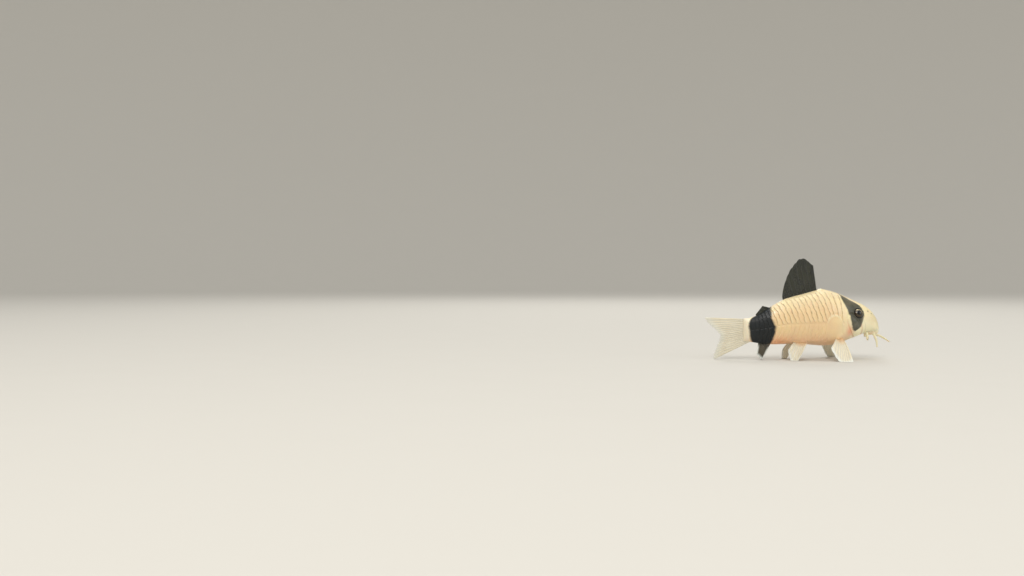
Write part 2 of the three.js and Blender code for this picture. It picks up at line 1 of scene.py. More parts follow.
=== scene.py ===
"""A life-size armoured catfish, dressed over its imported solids, on a plain studio stage.

Lengths inside the shape functions are millimetres in the fish's own frame: the snout tip is at 0, the tail
runs towards -X, +Y is the fish's left and Z is up from the floor. to_frame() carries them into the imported
model's frame, in metres.
"""

import json
import math

import bpy
import numpy as np
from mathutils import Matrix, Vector

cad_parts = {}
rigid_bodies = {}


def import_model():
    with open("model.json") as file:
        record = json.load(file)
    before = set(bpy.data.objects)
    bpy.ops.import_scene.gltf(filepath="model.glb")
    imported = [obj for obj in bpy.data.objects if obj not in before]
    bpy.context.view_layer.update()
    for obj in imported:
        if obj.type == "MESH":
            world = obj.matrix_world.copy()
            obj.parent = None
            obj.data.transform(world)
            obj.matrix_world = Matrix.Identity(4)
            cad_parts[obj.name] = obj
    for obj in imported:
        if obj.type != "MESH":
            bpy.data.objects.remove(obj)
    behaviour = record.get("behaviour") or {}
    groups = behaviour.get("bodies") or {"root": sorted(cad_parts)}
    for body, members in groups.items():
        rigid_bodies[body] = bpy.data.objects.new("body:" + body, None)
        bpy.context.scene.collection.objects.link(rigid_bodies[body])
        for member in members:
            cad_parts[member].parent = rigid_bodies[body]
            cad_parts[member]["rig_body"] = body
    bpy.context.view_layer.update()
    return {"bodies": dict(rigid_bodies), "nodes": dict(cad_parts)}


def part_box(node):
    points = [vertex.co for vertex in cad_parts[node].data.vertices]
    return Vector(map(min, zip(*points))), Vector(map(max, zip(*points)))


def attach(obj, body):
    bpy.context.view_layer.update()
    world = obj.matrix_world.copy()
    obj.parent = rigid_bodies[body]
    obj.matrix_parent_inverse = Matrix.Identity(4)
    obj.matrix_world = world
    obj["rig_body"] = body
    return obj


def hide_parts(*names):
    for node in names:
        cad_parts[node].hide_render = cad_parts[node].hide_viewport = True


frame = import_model()

bl_info = {
    "name": "Armoured catfish model",
    "version": (1, 0, 0),
    "blender": (4, 5, 0),
    "location": "3D Viewport > Sidebar > Catfish",
    "description": "Skin, eyes, mouth, barbels and fins of a small armoured catfish, and its studio stage",
    "category": "Add Mesh",
}

MM = 0.001
SIDES = (("left", 1.0), ("right", -1.0))

# ---------------------------------------------------------------- the fish's measures, in millimetres

STANDARD_LENGTH = 38.0
ROOT_DEPTH = 0.9
BEND_START = 0.4
BEND_END_ANGLE = math.radians(12)

# Share of the length, top, bottom, half width, height of the widest point, and the two roundnesses.
SECTIONS = np.array([
    (0, 8.6, 8.6, 0, 0.5, 1, 1),
    (0.011, 10.1, 7.8, 1.2, 0.48, 1, 0.95),
    (0.027, 11.9, 7.5, 1.85, 0.46, 1, 0.9),
    (0.065, 13.9, 7.6, 2.6, 0.44, 1, 0.88),
    (0.12, 15.5, 7.5, 3.25, 0.42, 1.02, 0.84),
    (0.196, 16.85, 6.5, 4.05, 0.42, 1.05, 0.78),
    (0.273, 18.1, 5.5, 4.7, 0.42, 1.08, 0.74),
    (0.338, 19.1, 4.65, 4.95, 0.42, 1.1, 0.72),
    (0.403, 19.8, 4.15, 4.95, 0.42, 1.12, 0.72),
    (0.463, 20.1, 4.05, 4.8, 0.42, 1.12, 0.72),
    (0.6, 18.8, 4.45, 4.15, 0.43, 1.1, 0.76),
    (0.725, 17.5, 4.5, 3.3, 0.45, 1.08, 0.82),
    (0.774, 16.65, 4.45, 2.95, 0.46, 1.06, 0.86),
    (0.823, 15.6, 4.4, 2.55, 0.47, 1.04, 0.9),
    (0.88, 14.2, 4.5, 2.1, 0.48, 1.02, 0.95),
    (0.938, 12.8, 4.75, 1.65, 0.5, 1, 1),
    (1, 11.9, 5.15, 1.2, 0.5, 1, 1),
])

SCUTES = {"count": 22, "from": 0.3, "to": 0.992, "slant_above": 0.085, "slant_below": 0.075}
SCUTE_PHASES = (0, 0.1, 0.22, 0.35, 0.48, 0.61, 0.73, 0.83, 0.91, 0.955, 0.99)
WAVER = ((0.0024, 37, 66), (0.0013, 91, -44))
GILL = {"share": 0.266, "reach": 0.022, "under": 0.03, "width": 0.09}
GILL_COVER = {"back": 9.0, "height": 9.7, "half_long": 1.95, "half_tall": 3.3, "tilt": 0.36}
FORE_COVER = {"back": 8.4, "height": 9.0, "half_long": 3.0, "half_tall": 4.2, "tilt": 0.1}
LIP_PAD = {"back": 2.2, "height": 9.3, "half_long": 1.25, "half_tall": 1.7, "tilt": -0.2}
SHOULDER = {"back": 15.3, "height": 9.0, "half_long": 2.55, "half_tall": 4.0, "tilt": 0.0}
GILL_FLUSH = {"back": 10.7, "height": 8.2, "half_long": 1.1, "half_tall": 1.5}

EYE = {
    "share": 0.205, "height": 13.35, "radius": 1.55, "depth": 1.15, "sunk": 0.6, "fit": 0.985,
    "flattening": 0.96, "cornea": 0.05,
}
NOSTRILS = ((0.085, 13.1, 0.2), (0.115, 13.8, 0.24))
MOUTH = {"share": 0.062, "height": 7.35, "width": 1.45, "length": 0.9, "lip": 0.46}
BARBEL_ROOT_HEIGHT = 7.75

# Round pads of the mouth: share, distance out, height, radii and turn about Y.
LIP_FLAP = (0.045, 1.25, 8.3, (1.25, 0.45, 0.95), 0.5)
CORNER_PAD = (0.085, 1.25, BARBEL_ROOT_HEIGHT + 0.1, (1.3, 0.5, 0.5), 0.0)
CHIN_PAD = (0.1, 0.0, BARBEL_ROOT_HEIGHT, (0.8, 1.3, 0.42), 0.0)
MOUTH_VOXEL = 0.06
MOUTH_SMOOTHINGS = 4

# Node, side, share, distance out, reach forwards, out and down, and sag.
BARBELS = (
    ("barbel_upper_right", -1, 0.062, 1.5, (0.9, 0.9, 4.3), 0.3),
    ("barbel_upper_left", 1, 0.045, 1.45, (7, 1.7, 3.2), 0.8),
    ("barbel_lower_right", -1, 0.112, 1.5, (-0.3, 0.7, 2.1), 0.2),
    ("barbel_lower_left", 1, 0.082, 1.45, (1.2, 1, 2.6), 0.4),
    ("barbel_chin_right", -1, 0.1, 0.62, (-0.2, 0.25, 1.5), 0.1),
    ("barbel_chin_left", 1, 0.1, 0.62, (0.1, 0.25, 1.5), 0.1),
)

# The fins: shares along the body, millimetres, and degrees where an angle isn't in radians.
DORSAL = {
    "from": 0.49, "to": 0.747, "rays": 8, "branch": 0.45, "length": 10.9, "spine": 0.78, "longest_at": 0.32,
    "fall": 0.918, "fall_power": 1.9, "corner": 0.14, "corner_to": 0.15,
}
DORSAL_LEAN = {
    "first": 9, "more": 14, "sway": 0.35, "sway_turn": 2.6, "sway_start": 0.4, "ripple": 0.05,
    "ripple_turn": 23,
}
ADIPOSE = {
    "from": 0.825, "to": 0.942, "rays": 2, "branch": 2.0, "length": 3, "angle": math.radians(-8),
    "rise": 0.25, "end_back": 0.5, "end_up": 0.15, "spine_part": 0.8,
}
ANAL = {
    "from": 0.832, "to": 0.932, "rays": 7, "branch": 0.4, "length": 5.35, "lean": 33, "more": -24,
    "shortest": 0.66, "first": 0.36, "arc": 0.5, "roundness": 0.8, "spine": 0.12,
}
CAUDAL = {
    "rays": 16, "branch": 0.38, "upper_length": 13.2, "lower_length": 12, "middle": 0.64, "fall_power": 1.4,
    "corner": 0.1, "corner_to": 0.2, "ripple": 0.1, "ripple_turn": 19, "spine": 0.14,
}
CAUDAL_ANGLES = {"upper": 2, "lower": -29, "axis": -12, "power": 0.85}
CAUDAL_ROOT = {"top": 11.6, "bottom": 5.45, "curl": 0.9}
PECTORAL = {
    "from": 0.335, "to": 0.375, "turn": 0.71, "rays": 8, "branch": 0.42, "base": 1.7, "base_height": 0.34,
    "right": ((0.3, 6.4, 6.4), (-1.6, 5.6, 7.4), (-3.1, 2.5, 2.6)),
    "left": ((5.4, 6.4, 6.4), (3.6, 5.9, 7.4), (0.4, 3, 2.8)),
}
PELVIC = {
    "from": 0.572, "to": 0.666, "turn": 0.86, "rays": 6, "branch": 0.42, "base": 1.5, "base_height": 0.22,
    "right": ((-4.1, 2.8, 4.0), (-3.7, 2.2, 6.3), (-2.5, 0.3, 2.0)),
    "left": ((-4.0, 3.2, 4.9), (-3.9, 2.4, 6.4), (-2.7, 0.4, 2.3)),
    "spine": 0.1,
}
PAIRED_ARCH = {"out": 0.5, "up": 0.25}
FIN = {"film": 0.045, "root_crest": 0.15, "tip_crest": 0.05, "margin": 0.03, "flesh": 0.2, "flesh_to": 0.22}
FLOOR_CURL = {"from": 0.27, "least": 0.07, "fade": 0.2, "clearance": 0.012}

# How far the plates, rims and pits of the head stand over the smooth body or lie under it.
RELIEF = {
    "cover": 0.26, "cover_rim": 0.1, "cover_groove": 0.2, "shoulder": 0.1, "shoulder_rim": 0.1,
    "shoulder_groove": 0.08, "nape": 0.16, "lip_pad": 0.2, "seam": 0.07, "socket": 1.0, "socket_rim": 0.17,
    "socket_groove": 0.05, "nostril": 0.38, "nostril_rim": 0.14,
}
WEDGE = {"rings": 8, "length": 1.7, "thinning": 0.94, "thinning_power": 1.3, "lowering": 0.06}

# Values that stand for a place well away from an eye, the shoulder's plate or the mask.
FAR = 9.0
OFF_SHOULDER = 3.0
OFF_MASK = -2.0

# The dark bands' front and rear edges: turn from the back as a part of a half turn, and share.
MASK_FRONT = (
    (0, 0.345), (0.06, 0.33), (0.1, 0.285), (0.14, 0.25), (0.17, 0.207), (0.2, 0.176), (0.31, 0.155),
    (0.4, 0.158), (0.47, 0.166), (0.56, 0.188), (0.6, 0.207), (0.64, 0.24),
)
MASK_REAR = (
    (0, 0.325), (0.06, 0.33), (0.17, 0.33), (0.23, 0.323), (0.28, 0.31), (0.34, 0.295), (0.41, 0.284),
    (0.52, 0.272), (0.6, 0.258), (0.64, 0.24),
)
MASK_END_TURN = 0.645
BLOTCH_FRONT = (
    (0, 0.842), (0.35, 0.848), (0.44, 0.832), (0.51, 0.818), (0.65, 0.826), (0.93, 0.853), (1, 0.86),
)
BLOTCH_REAR = ((0, 0.945), (0.06, 0.972), (0.15, 0.992), (0.3, 1.008), (0.5, 1.008), (0.8, 0.993), (1, 0.97))

# The photograph's viewpoint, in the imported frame.
VIEWPOINT = {"place": (-0.12768, -0.298, 0.0254), "yaw": math.radians(-8.28), "pitch": math.radians(-0.9)}
FOCAL_PIXELS = 1098.0
PICTURE_WIDTH = 1024.0

# The stage, in metres: the floor and its curve, and each light's place, size, power and colour.
STAGE = {"inner": 0.05, "radius": 1.1, "curve": 0.7, "flat_rings": 12, "curve_rings": 24, "sides": 96}
STAGE_SHADE = (0.6, 0.58, 0.55)
LIGHT_TARGET = (0.0, 0.0, 0.014)
LIGHTS = (
    ("key", (-0.24, -0.46, 0.5), 0.34, 2.1, (1.0, 0.97, 0.93)),
    ("fill", (0.5, -0.35, 0.28), 0.4, 0.7, (0.96, 0.98, 1.0)),
    ("rim", (0.1, 0.5, 0.45), 0.35, 1.0, (1.0, 0.99, 0.97)),
    ("ceiling", (0.0, 0.0, 1.9), 1.6, 16.0, (1.0, 0.99, 0.97)),
)
SKY = {"Color": (1.0, 0.99, 0.97, 1), "Strength": 0.44}


# ---------------------------------------------------------------- shape functions

def rise(value, a, b):
    """A smooth step: with t the value's place from a to b, held in 0 to 1, it gives 3 t squared less 2 t
    cubed. Where a is the greater, it falls from b to a."""
    t = np.clip((value - a) / (b - a), 0.0, 1.0)
    return t * t * (3.0 - 2.0 * t)


def window(value, a, b, c, d):
    """The product of a smooth rise from a to b and a smooth fall from c to d."""
    return rise(value, a, b) * rise(value, d, c)


def blend(a, b, t):
    """The value a part t of the way from a to b."""
    return a + (b - a) * t


def bump(value, centre, width):
    """A bell: e to the power of minus the square of the distance from the centre over the width."""
    return np.exp(-(((value - centre) / width) ** 2))


KNOTS = np.sqrt(SECTIONS[:, 0])
BEFORE = np.maximum(np.arange(len(KNOTS)) - 1, 0)
AFTER = np.minimum(np.arange(len(KNOTS)) + 1, len(KNOTS) - 1)
SLOPES = (SECTIONS[AFTER] - SECTIONS[BEFORE]) / (KNOTS[AFTER] - KNOTS[BEFORE])[:, None]


def section(share, column):
    """A column of the sections at a share: a cubic Hermite curve over the root of the share."""
    at = np.sqrt(np.clip(share, 0.0, 1.0))
    i = np.clip(np.searchsorted(KNOTS, at) - 1, 0, len(KNOTS) - 2)
    span = KNOTS[i + 1] - KNOTS[i]
    t = (at - KNOTS[i]) / span
    p, q = SECTIONS[i, column], SECTIONS[i + 1, column]
    a, b = SLOPES[i, column] * span, SLOPES[i + 1, column] * span
    ends = p * (2 * t**3 - 3 * t**2 + 1) + q * (3 * t**2 - 2 * t**3)
    return ends + a * (t**3 - 2 * t**2 + t) + b * (t**3 - t**2)


def spine(share):
    """The spine's x and y and its angle at a share: straight at first, then a round arc to the left."""
    along = np.asarray(share, float) * STANDARD_LENGTH
    start = BEND_START * STANDARD_LENGTH
    radius = (STANDARD_LENGTH - start) / BEND_END_ANGLE
    angle = np.maximum(0.0, along - start) / radius
    return -(np.minimum(along, start) + radius * np.sin(angle)), radius * (1 - np.cos(angle)), angle


def body_point(share, turn, side, lift=0.0):
    """A point of the body. Each half of a section is a superellipse: out is the half width times the sine of
    the turn to a power, and up is the half height times its cosine to that power. The lift goes along the
    section's normal, and side is +1 on the left."""
    share, turn, side, lift = np.broadcast_arrays(*[np.asarray(v, float) for v in (share, turn, side, lift)])
    top, bottom, half, wide, upper, lower = (section(share, c) for c in range(1, 7))
    half = np.maximum(half, 0.0)
    middle = bottom + wide * (top - bottom)
    above = turn <= 0.5
    sign = np.where(above, 1.0, -1.0)
    height = np.where(above, top - middle, middle - bottom)
    power = np.where(above, upper, lower)
    s = np.clip(np.sin(turn * math.pi), 0.0, 1.0)
    c = np.abs(np.cos(turn * math.pi))
    normal_out = s * np.maximum(height, 0.1)
    normal_up = sign * c * np.maximum(half, 0.1)
    size = np.hypot(normal_out, normal_up)
    out = side * (half * s**power + lift * normal_out / size)
    up = middle + sign * height * c**power + lift * normal_up / size
    x, y, angle = spine(share)
    return np.stack([x + np.sin(angle) * out, y + np.cos(angle) * out, up], axis=-1)


def body_normal(share, turn, side):
    """The direction out of the body: the way a point moves as its lift grows."""
    way = body_point(share, turn, side, 1.0) - body_point(share, turn, side, 0.0)
    return way / np.linalg.norm(way, axis=-1, keepdims=True)


def turn_at_height(share, height):
    """The turn at which the body's side stands at a height, read off a fine row of turns."""
    turns = np.linspace(0.02, 0.98, 2000)
    heights = body_point(share, turns, 1.0)[:, 2]
    return float(np.interp(height, heights[::-1], turns[::-1]))


def in_plane(share, back, height):
    """A point of the upright middle plane: back along the body from a share, at a height."""
    x, y, angle = spine(share)
    x, y, angle, back, height = np.broadcast_arrays(x, y, angle, back, height)
    return np.stack([x - np.cos(angle) * back, y + np.sin(angle) * back, height], axis=-1)


EYE_TURN = turn_at_height(EYE["share"], EYE["height"])


def eye_centre(side):
    """The middle of an eyeball, sunk under the skin along its normal."""
    return body_point(EYE["share"], EYE_TURN, side, -EYE["sunk"])


def box_middle(node):
    """The middle of a node's box, in metres."""
    low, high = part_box(node)
    return (np.array(low) + np.array(high)) / 2


FRAME_SHIFT = (
    (box_middle("eye_left") + box_middle("eye_right")) / 2 / MM - (eye_centre(1.0) + eye_centre(-1.0)) / 2
)


def to_frame(points):
    """Millimetres in the fish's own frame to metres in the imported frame."""
    return (np.asarray(points) + FRAME_SHIFT) * MM


def ring_share(share, turn):
    """The share that a ring reaches at a turn: rings lean into chevrons on the flank and bow behind the
    gill."""
    above = np.maximum(0.0, 1 - 2 * turn)
    below = np.minimum(0.6, np.maximum(0.0, 2 * turn - 1))
    chevron = window(share, 0.28, 0.42, 0.72, 1.0)
    cover = GILL["reach"] * bump(turn, 0.5, 0.2) - GILL["under"] * rise(turn, 0.6, 0.95)
    slant = chevron * (SCUTES["slant_above"] * above + SCUTES["slant_below"] * below)
    bow = bump(share, GILL["share"], GILL["width"]) * cover * (share < 0.99)
    return np.minimum(share + slant + bow, 1.0)


# ---------------------------------------------------------------- meshes

def outward(points, faces):
    """Turns the faces round if the volume that they enclose comes out negative. The volume is the sum over
    the faces' triangles of a . (b x c) / 6."""
    middle = points.mean(axis=0)
    volume = 0.0
    for rows in faces:
        a = points[rows[:, 0]] - middle
        for k in range(1, rows.shape[1] - 1):
            b, c = points[rows[:, k]] - middle, points[rows[:, k + 1]] - middle
            volume += np.einsum("ij,ij->i", a, np.cross(b, c)).sum() / 6
    return [rows[:, ::-1] if volume < 0 else rows for rows in faces]


def make_piece(name, material, points, faces, values=None, uv=None, closed=True):
    """A smooth mesh object from millimetre points and arrays of quads and triangles, with values for each
    point. Closed faces are turned outward."""
    points = np.asarray(points, float)
    faces = outward(points, faces) if closed else faces
    mesh = bpy.data.meshes.new(name)
    mesh.from_pydata(to_frame(points).tolist(), [], [row for rows in faces for row in rows.tolist()])
    mesh.polygons.foreach_set("use_smooth", np.full(len(mesh.polygons), True))
    for key, value in (values or {}).items():
        value = np.asarray(value, np.float32)
        kind = "FLOAT_VECTOR" if value.ndim == 2 else "FLOAT"
        data = mesh.attributes.new(key, kind, "POINT").data
        data.foreach_set("vector" if value.ndim == 2 else "value", value.ravel())
    if uv is not None:
        corners = np.zeros(len(mesh.loops), np.int32)
        mesh.loops.foreach_get("vertex_index", corners)
        layer = mesh.uv_layers.new(name="fin_uv")
        layer.data.foreach_set("uv", np.asarray(uv, np.float32)[corners].ravel())
    mesh.update()
    mesh.validate()
    mesh.materials.append(material)
    piece = bpy.data.objects.new(name, mesh)
    bpy.context.scene.collection.objects.link(piece)
    return piece


def wear(piece, slot, *nodes):
    """Lets a piece ride on the body and stand for its solids, which it hides. The slot it is given is not
    used.
    """
    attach(piece, "root")
    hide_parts(*nodes)


def tube_faces(rows, columns):
    """Quads between the rows of a grid whose columns run round and meet."""
    i, j = np.meshgrid(np.arange(rows - 1), np.arange(columns), indexing="ij")
    k = (j + 1) % columns
    here, after = i * columns, (i + 1) * columns
    return np.stack([here + j, here + k, after + k, after + j], axis=-1).reshape(-1, 4)


def fan(centre, ring, turned=False):
    """Triangles from a middle point to a ring of points."""
    after = np.roll(ring, -1)
    middle = np.full(len(ring), centre)
    return np.stack([middle, after, ring] if turned else [middle, ring, after], axis=-1)


def closed_tube(rings):
    """Points and faces of a tube of rings, with a middle point at each end."""
    rows, columns = rings.shape[:2]
    points = np.concatenate([rings.reshape(-1, 3), rings[:1].mean(axis=1), rings[-1:].mean(axis=1)])
    ring = np.arange(columns)
    end = (rows - 1) * columns
    ends = np.concatenate([fan(rows * columns, ring, True), fan(rows * columns + 1, end + ring)])
    return points, [tube_faces(rows, columns), ends]


def ball(radii, turn_y=0.0, centre=(0, 0, 0), rows=24, columns=36):
    """An ellipsoid: rings of angle p have radius sin p and height cos p, stretched by three radii and
    turned about Y."""
    p = np.linspace(0, math.pi, rows + 2)[1:-1, None]
    q = np.linspace(0, 2 * math.pi, columns, endpoint=False)[None, :]
    unit = np.stack([np.sin(p) * np.cos(q), np.sin(p) * np.sin(q), np.cos(p) + 0 * q], axis=-1)
    rings = unit * np.array(radii)
    c, s = math.cos(turn_y), math.sin(turn_y)
    rings = rings @ np.array([[c, 0, -s], [0, 1, 0], [s, 0, c]]) + np.array(centre)
    return closed_tube(rings)


def join(parts):
    """Several point and face lists as one."""
    points, faces, first = [], [], 0
    for some_points, some_faces in parts:
        points.append(some_points)
        faces += [rows + first for rows in outward(some_points, some_faces)]
        first += len(some_points)
    return np.concatenate(points), faces


# ---------------------------------------------------------------- the skin

HEAD_ROWS = 92
HEAD_CROWDING = 1.7
NECK_ROWS = 6
HALF_COLUMNS = 140


def skin_rows():
    """The ring shares from snout to tail, and each row's place in its scute from 0 to 1."""
    head = GILL["share"] * ((np.arange(HEAD_ROWS) + 1) / HEAD_ROWS) ** HEAD_CROWDING
    neck = np.linspace(GILL["share"], SCUTES["from"], NECK_ROWS + 2)[1:-1]
    pitch = (SCUTES["to"] - SCUTES["from"]) / SCUTES["count"]
    number, phase = np.meshgrid(np.arange(SCUTES["count"]), SCUTE_PHASES, indexing="ij")
    scutes = SCUTES["from"] + (number + phase) * pitch
    end = np.array([0.992, 0.996, 1.0])
    shares = np.concatenate([head, neck, scutes.ravel(), end])
    phases = np.concatenate([0 * head, 0 * neck, phase.ravel(), 0 * end])
    return shares, phases


def plate_rows(ring, turn, phase):
    """How much a point belongs to the upper and the lower row of scutes. Each row ends in a curve, where the
    scutes' corners are cut back by a power of the distance from their middle."""
    corner = np.abs(2 * phase - 1) ** 2.2
    start = 0.105 + 0.016 * corner
    line = 0.01 * corner
    belt = blend(0.79, 0.93, rise(ring, 0.7, 0.78)) - 0.03 * corner
    upper = window(turn, start - 0.008, start + 0.008, 0.488 - line, 0.497 - line)
    lower = window(turn, 0.503 + line, 0.512 + line, belt - 0.012, belt + 0.006)
    on = (ring >= SCUTES["from"]) & (ring < SCUTES["to"])
    return upper * on, lower * on


def oval(back, height, plate):
    """The distance from a plate's middle, as a part of its half sizes: 1 on its edge."""
    up = height - plate["height"]
    along = back - plate["tilt"] * up - plate["back"]
    return np.hypot(along / plate["half_long"], up / plate["half_tall"])


def band(share, turn, front, rear):
    """The distance in millimetres inside a dark band, from its front or rear edge, whichever is nearer."""
    front, rear = np.array(front), np.array(rear)
    from_front = share - np.interp(turn, front[:, 0], front[:, 1])
    from_rear = np.interp(turn, rear[:, 0], rear[:, 1]) - share
    return np.minimum(from_front, from_rear) * STANDARD_LENGTH


def head_seams(share, turn, back, height):
    """Narrow lines between the head's plates: along the crown, down its middle and before the gill cover.
    Each is a bell over the turn or an oval's distance, held inside a window of shares or turns."""
    edge = blend(0.16, 0.06, rise(share, 0.22, 0.34))
    crown = bump(turn, edge, 0.008) * window(share, 0.2, 0.24, 0.34, 0.37)
    parting = bump(turn, 0.02, 0.012) * window(share, 0.12, 0.15, 0.22, 0.25)
    fore = bump(oval(back, height, FORE_COVER), 1.0, 0.04)
    fore = fore * window(turn, 0.45, 0.55, 0.8, 0.9) * rise(back, 9.2, 8.6)
    return np.maximum(np.maximum(crown, parting), fore)


def head_plates(share, turn, back, height, cover, shoulder, on_flank):
    """The gill cover and the shoulder plate as low domes with a rim and a groove behind, the plate in front
    of the dorsal fin, and the pad over the mouth's corner. Domes fall by the square of an oval's distance,
    rims and grooves are bells over it."""
    dome = RELIEF["cover"] * np.clip(1 - cover**2, 0, 1) + RELIEF["cover_rim"] * bump(cover, 0.94, 0.07)
    dome = (dome - RELIEF["cover_groove"] * bump(cover, 1.09, 0.07)) * on_flank
    dome = dome * rise(np.abs(back - GILL_COVER["back"]), 4, 3.2)
    arch = RELIEF["shoulder_rim"] * bump(shoulder, 0.93, 0.08)
    arch = arch - RELIEF["shoulder_groove"] * bump(shoulder, 1.06, 0.05)
    arch = arch * rise(height - SHOULDER["height"], -1.2, 1.8)
    plate = (RELIEF["shoulder"] * rise(shoulder, 1.08, 0.84) + arch) * on_flank
    nape = RELIEF["nape"] * bump(share, 0.465, 0.018) * rise(turn, 0.13, 0.05)
    pad = np.clip(1 - oval(back, height, LIP_PAD) ** 2, 0, 1) ** 1.5 * rise(turn, 0.3, 0.45)
    return dome + plate + nape + RELIEF["lip_pad"] * pad


def fin_bases(smooth):
    """Fleshy swellings round the roots of the paired fins: domes that fall by the square of the distance."""
    bases = np.zeros(smooth.shape[:2])
    for fin in (PECTORAL, PELVIC):
        for _name, hand in SIDES:
            middle = body_point((fin["from"] + fin["to"]) / 2, fin["turn"], hand)
            apart = np.linalg.norm(smooth - middle, axis=-1) / fin["base"]
            bases = np.maximum(bases, fin["base_height"] * np.clip(1 - apart**2, 0, 1))
    return bases


def pits(smooth, turn, side):
    """The lift of the eyes' sockets and the nostrils with their rims, the distance from the nearer eye, and
    how deep a point lies in a nostril. A pit is a smooth step over the distance from its middle and a rim a
    bell over it."""
    lift, hollow = np.zeros((2, *smooth.shape[:2]))
    from_eye = np.full_like(lift, FAR)
    for _name, hand in SIDES:
        here = side == hand
        normal = body_normal(EYE["share"], EYE_TURN, hand)
        away = smooth - body_point(EYE["share"], EYE_TURN, hand)
        flat = np.where(here, np.linalg.norm(away - (away @ normal)[..., None] * normal, axis=-1), FAR)
        lift += RELIEF["socket_rim"] * bump(flat, 1.58, 0.17) - RELIEF["socket"] * rise(flat, 1.42, 1.16)
        lift -= RELIEF["socket_groove"] * bump(flat, 2.35, 0.12) * rise(turn, 0.36, 0.46) * here
        from_eye = np.minimum(from_eye, flat)
        for spot, level, radius in NOSTRILS:
            hole = body_point(spot, turn_at_height(spot, level), hand)
            apart = np.where(here, np.linalg.norm(smooth - hole, axis=-1), FAR)
            pit = rise(apart, radius * 1.15, radius * 0.5)
            lift += RELIEF["nostril_rim"] * bump(apart, radius * 1.45, radius * 0.42)
            lift -= RELIEF["nostril"] * pit
            hollow = np.maximum(hollow, pit)
    return lift, from_eye, hollow


def tail_wedge(last):
    """Past its last ring the flesh thins to a wedge over the roots of the tail rays, by a power of the place
    along it, and reaches back by a quarter of a sine. It gives the rings and how far each reaches back."""
    part = np.linspace(0, 1, WEDGE["rings"] + 1)[1:, None, None]
    middle = in_plane(1.0, 0.0, last[..., 2])
    _x, _y, angle = spine(1.0)
    rearward = np.array([-math.cos(angle), math.sin(angle), 0.0])
    thin = (last - middle) * (1 - WEDGE["thinning"] * part ** WEDGE["thinning_power"])
    squeeze = np.array([1, 1, 0]) + np.array([0, 0, 1]) * (1 - WEDGE["lowering"] * part)
    level = np.array([0, 0, last[0, :, 2].mean()])
    reach = WEDGE["length"] * np.sin(part * math.pi / 2)
    return (middle - level) * squeeze + level + thin + rearward * reach, reach[..., 0]


def skin_surface(sizes):
    """The whole skin as a grid of rings, and the values that its material reads.

    The rings waver a little on the flank, by sines of turn and ring. The lift over the smooth body is the
    scutes (a ramp that rises to each rear edge and drops), the head's plates and grooves, the eyes' sockets,
    the nostrils and the swellings round the paired fins."""
    ring, phase = (row[:, None] for row in skin_rows())
    half_turn = np.arange(HALF_COLUMNS + 1) / HALF_COLUMNS
    turn = np.concatenate([half_turn, half_turn[-2:0:-1]])[None, :]
    side = np.concatenate([np.ones(HALF_COLUMNS + 1), -np.ones(HALF_COLUMNS - 1)])[None, :]
    waver = sum(size * np.sin(by_turn * turn + by_ring * ring) for size, by_turn, by_ring in WAVER)
    ring = ring + waver * window(ring, 0.32, 0.42, 0.9, 0.97) * rise(turn, 0.9, 0.8)
    share = ring_share(ring, turn)
    smooth = body_point(share, turn, side)
    back, height = share * STANDARD_LENGTH, smooth[..., 2]

    upper, lower = plate_rows(ring, turn, phase)
    rows = upper + lower
    cover, shoulder = oval(back, height, GILL_COVER), oval(back, height, SHOULDER)
    on_flank = window(turn, 0.3, 0.36, 0.8, 0.88)
    bare = rise(shoulder, 0.84, 1.08)
    profile = phase**0.75 * rise(phase, 1.0, 0.94)
    scutes = sizes.scute_relief / MM * profile * rows * bare * (1 - 0.4 * rise(share, 0.92, 0.97))
    seams = head_seams(share, turn, back, height)
    plates = head_plates(share, turn, back, height, cover, shoulder, on_flank)
    bases = fin_bases(smooth)
    sunk, from_eye, hollow = pits(smooth, turn, side)
    lift = scutes * rise(bases, 0.1, 0.0) + plates - RELIEF["seam"] * seams + sunk + bases
    points = body_point(share, turn, side, lift)
    flesh, reach = tail_wedge(points[-1][None])

    edge = np.clip(bump(phase, 0.94, 0.13) * rows + 0.32 * rows * (1 - rows), 0, 1) * bare
    flush = bump(back, GILL_FLUSH["back"], GILL_FLUSH["half_long"])
    values = {
        "share": share,
        "turn": turn,
        "upper_row": upper,
        "plate_edge": edge,
        # The mask of the painted highlight on the upper scutes.
        "plate_light": bump(phase, 0.72, 0.16) * upper * bare,
        "seam": seams,
        "gill_cover": cover,
        "shoulder": np.where(on_flank > 0.5, shoulder, OFF_SHOULDER),
        "from_eye": from_eye,
        "hollow": hollow,
        "gill_flush": flush * bump(height, GILL_FLUSH["height"], GILL_FLUSH["half_tall"]),
    }
    for key, value in values.items():
        value = np.broadcast_to(value, share.shape)
        values[key] = np.concatenate([value, np.repeat(value[-1:], WEDGE["rings"], axis=0)])
    share, turn = values["share"], values["turn"]
    share[-WEDGE["rings"]:] += reach / STANDARD_LENGTH
    mask = band(share, turn, MASK_FRONT, MASK_REAR)
    values["mask_inside"] = np.where(turn < MASK_END_TURN, mask, OFF_MASK)
    values["blotch_inside"] = band(share, turn, BLOTCH_FRONT, BLOTCH_REAR)
    return np.concatenate([points, flesh]), values


# ---------------------------------------------------------------- fins

def ray_pattern(u, v, rays, branch):
    """The rays' crests over a fin, 1 on a crest and 0 between: a bell over the distance to the nearest ray,
    which parts in two from the height branch, and each half in two again a little higher."""
    away = np.abs(u * rays % 1.0 - 0.5)
    away = np.abs(away - 0.21 * rise(v, branch, 1.05))
    away = np.abs(away - 0.09 * rise(v, branch + 0.25, 1.1))
    return bump(away, 0.0, blend(0.11, 0.05, rise(v, branch, 1.0)))


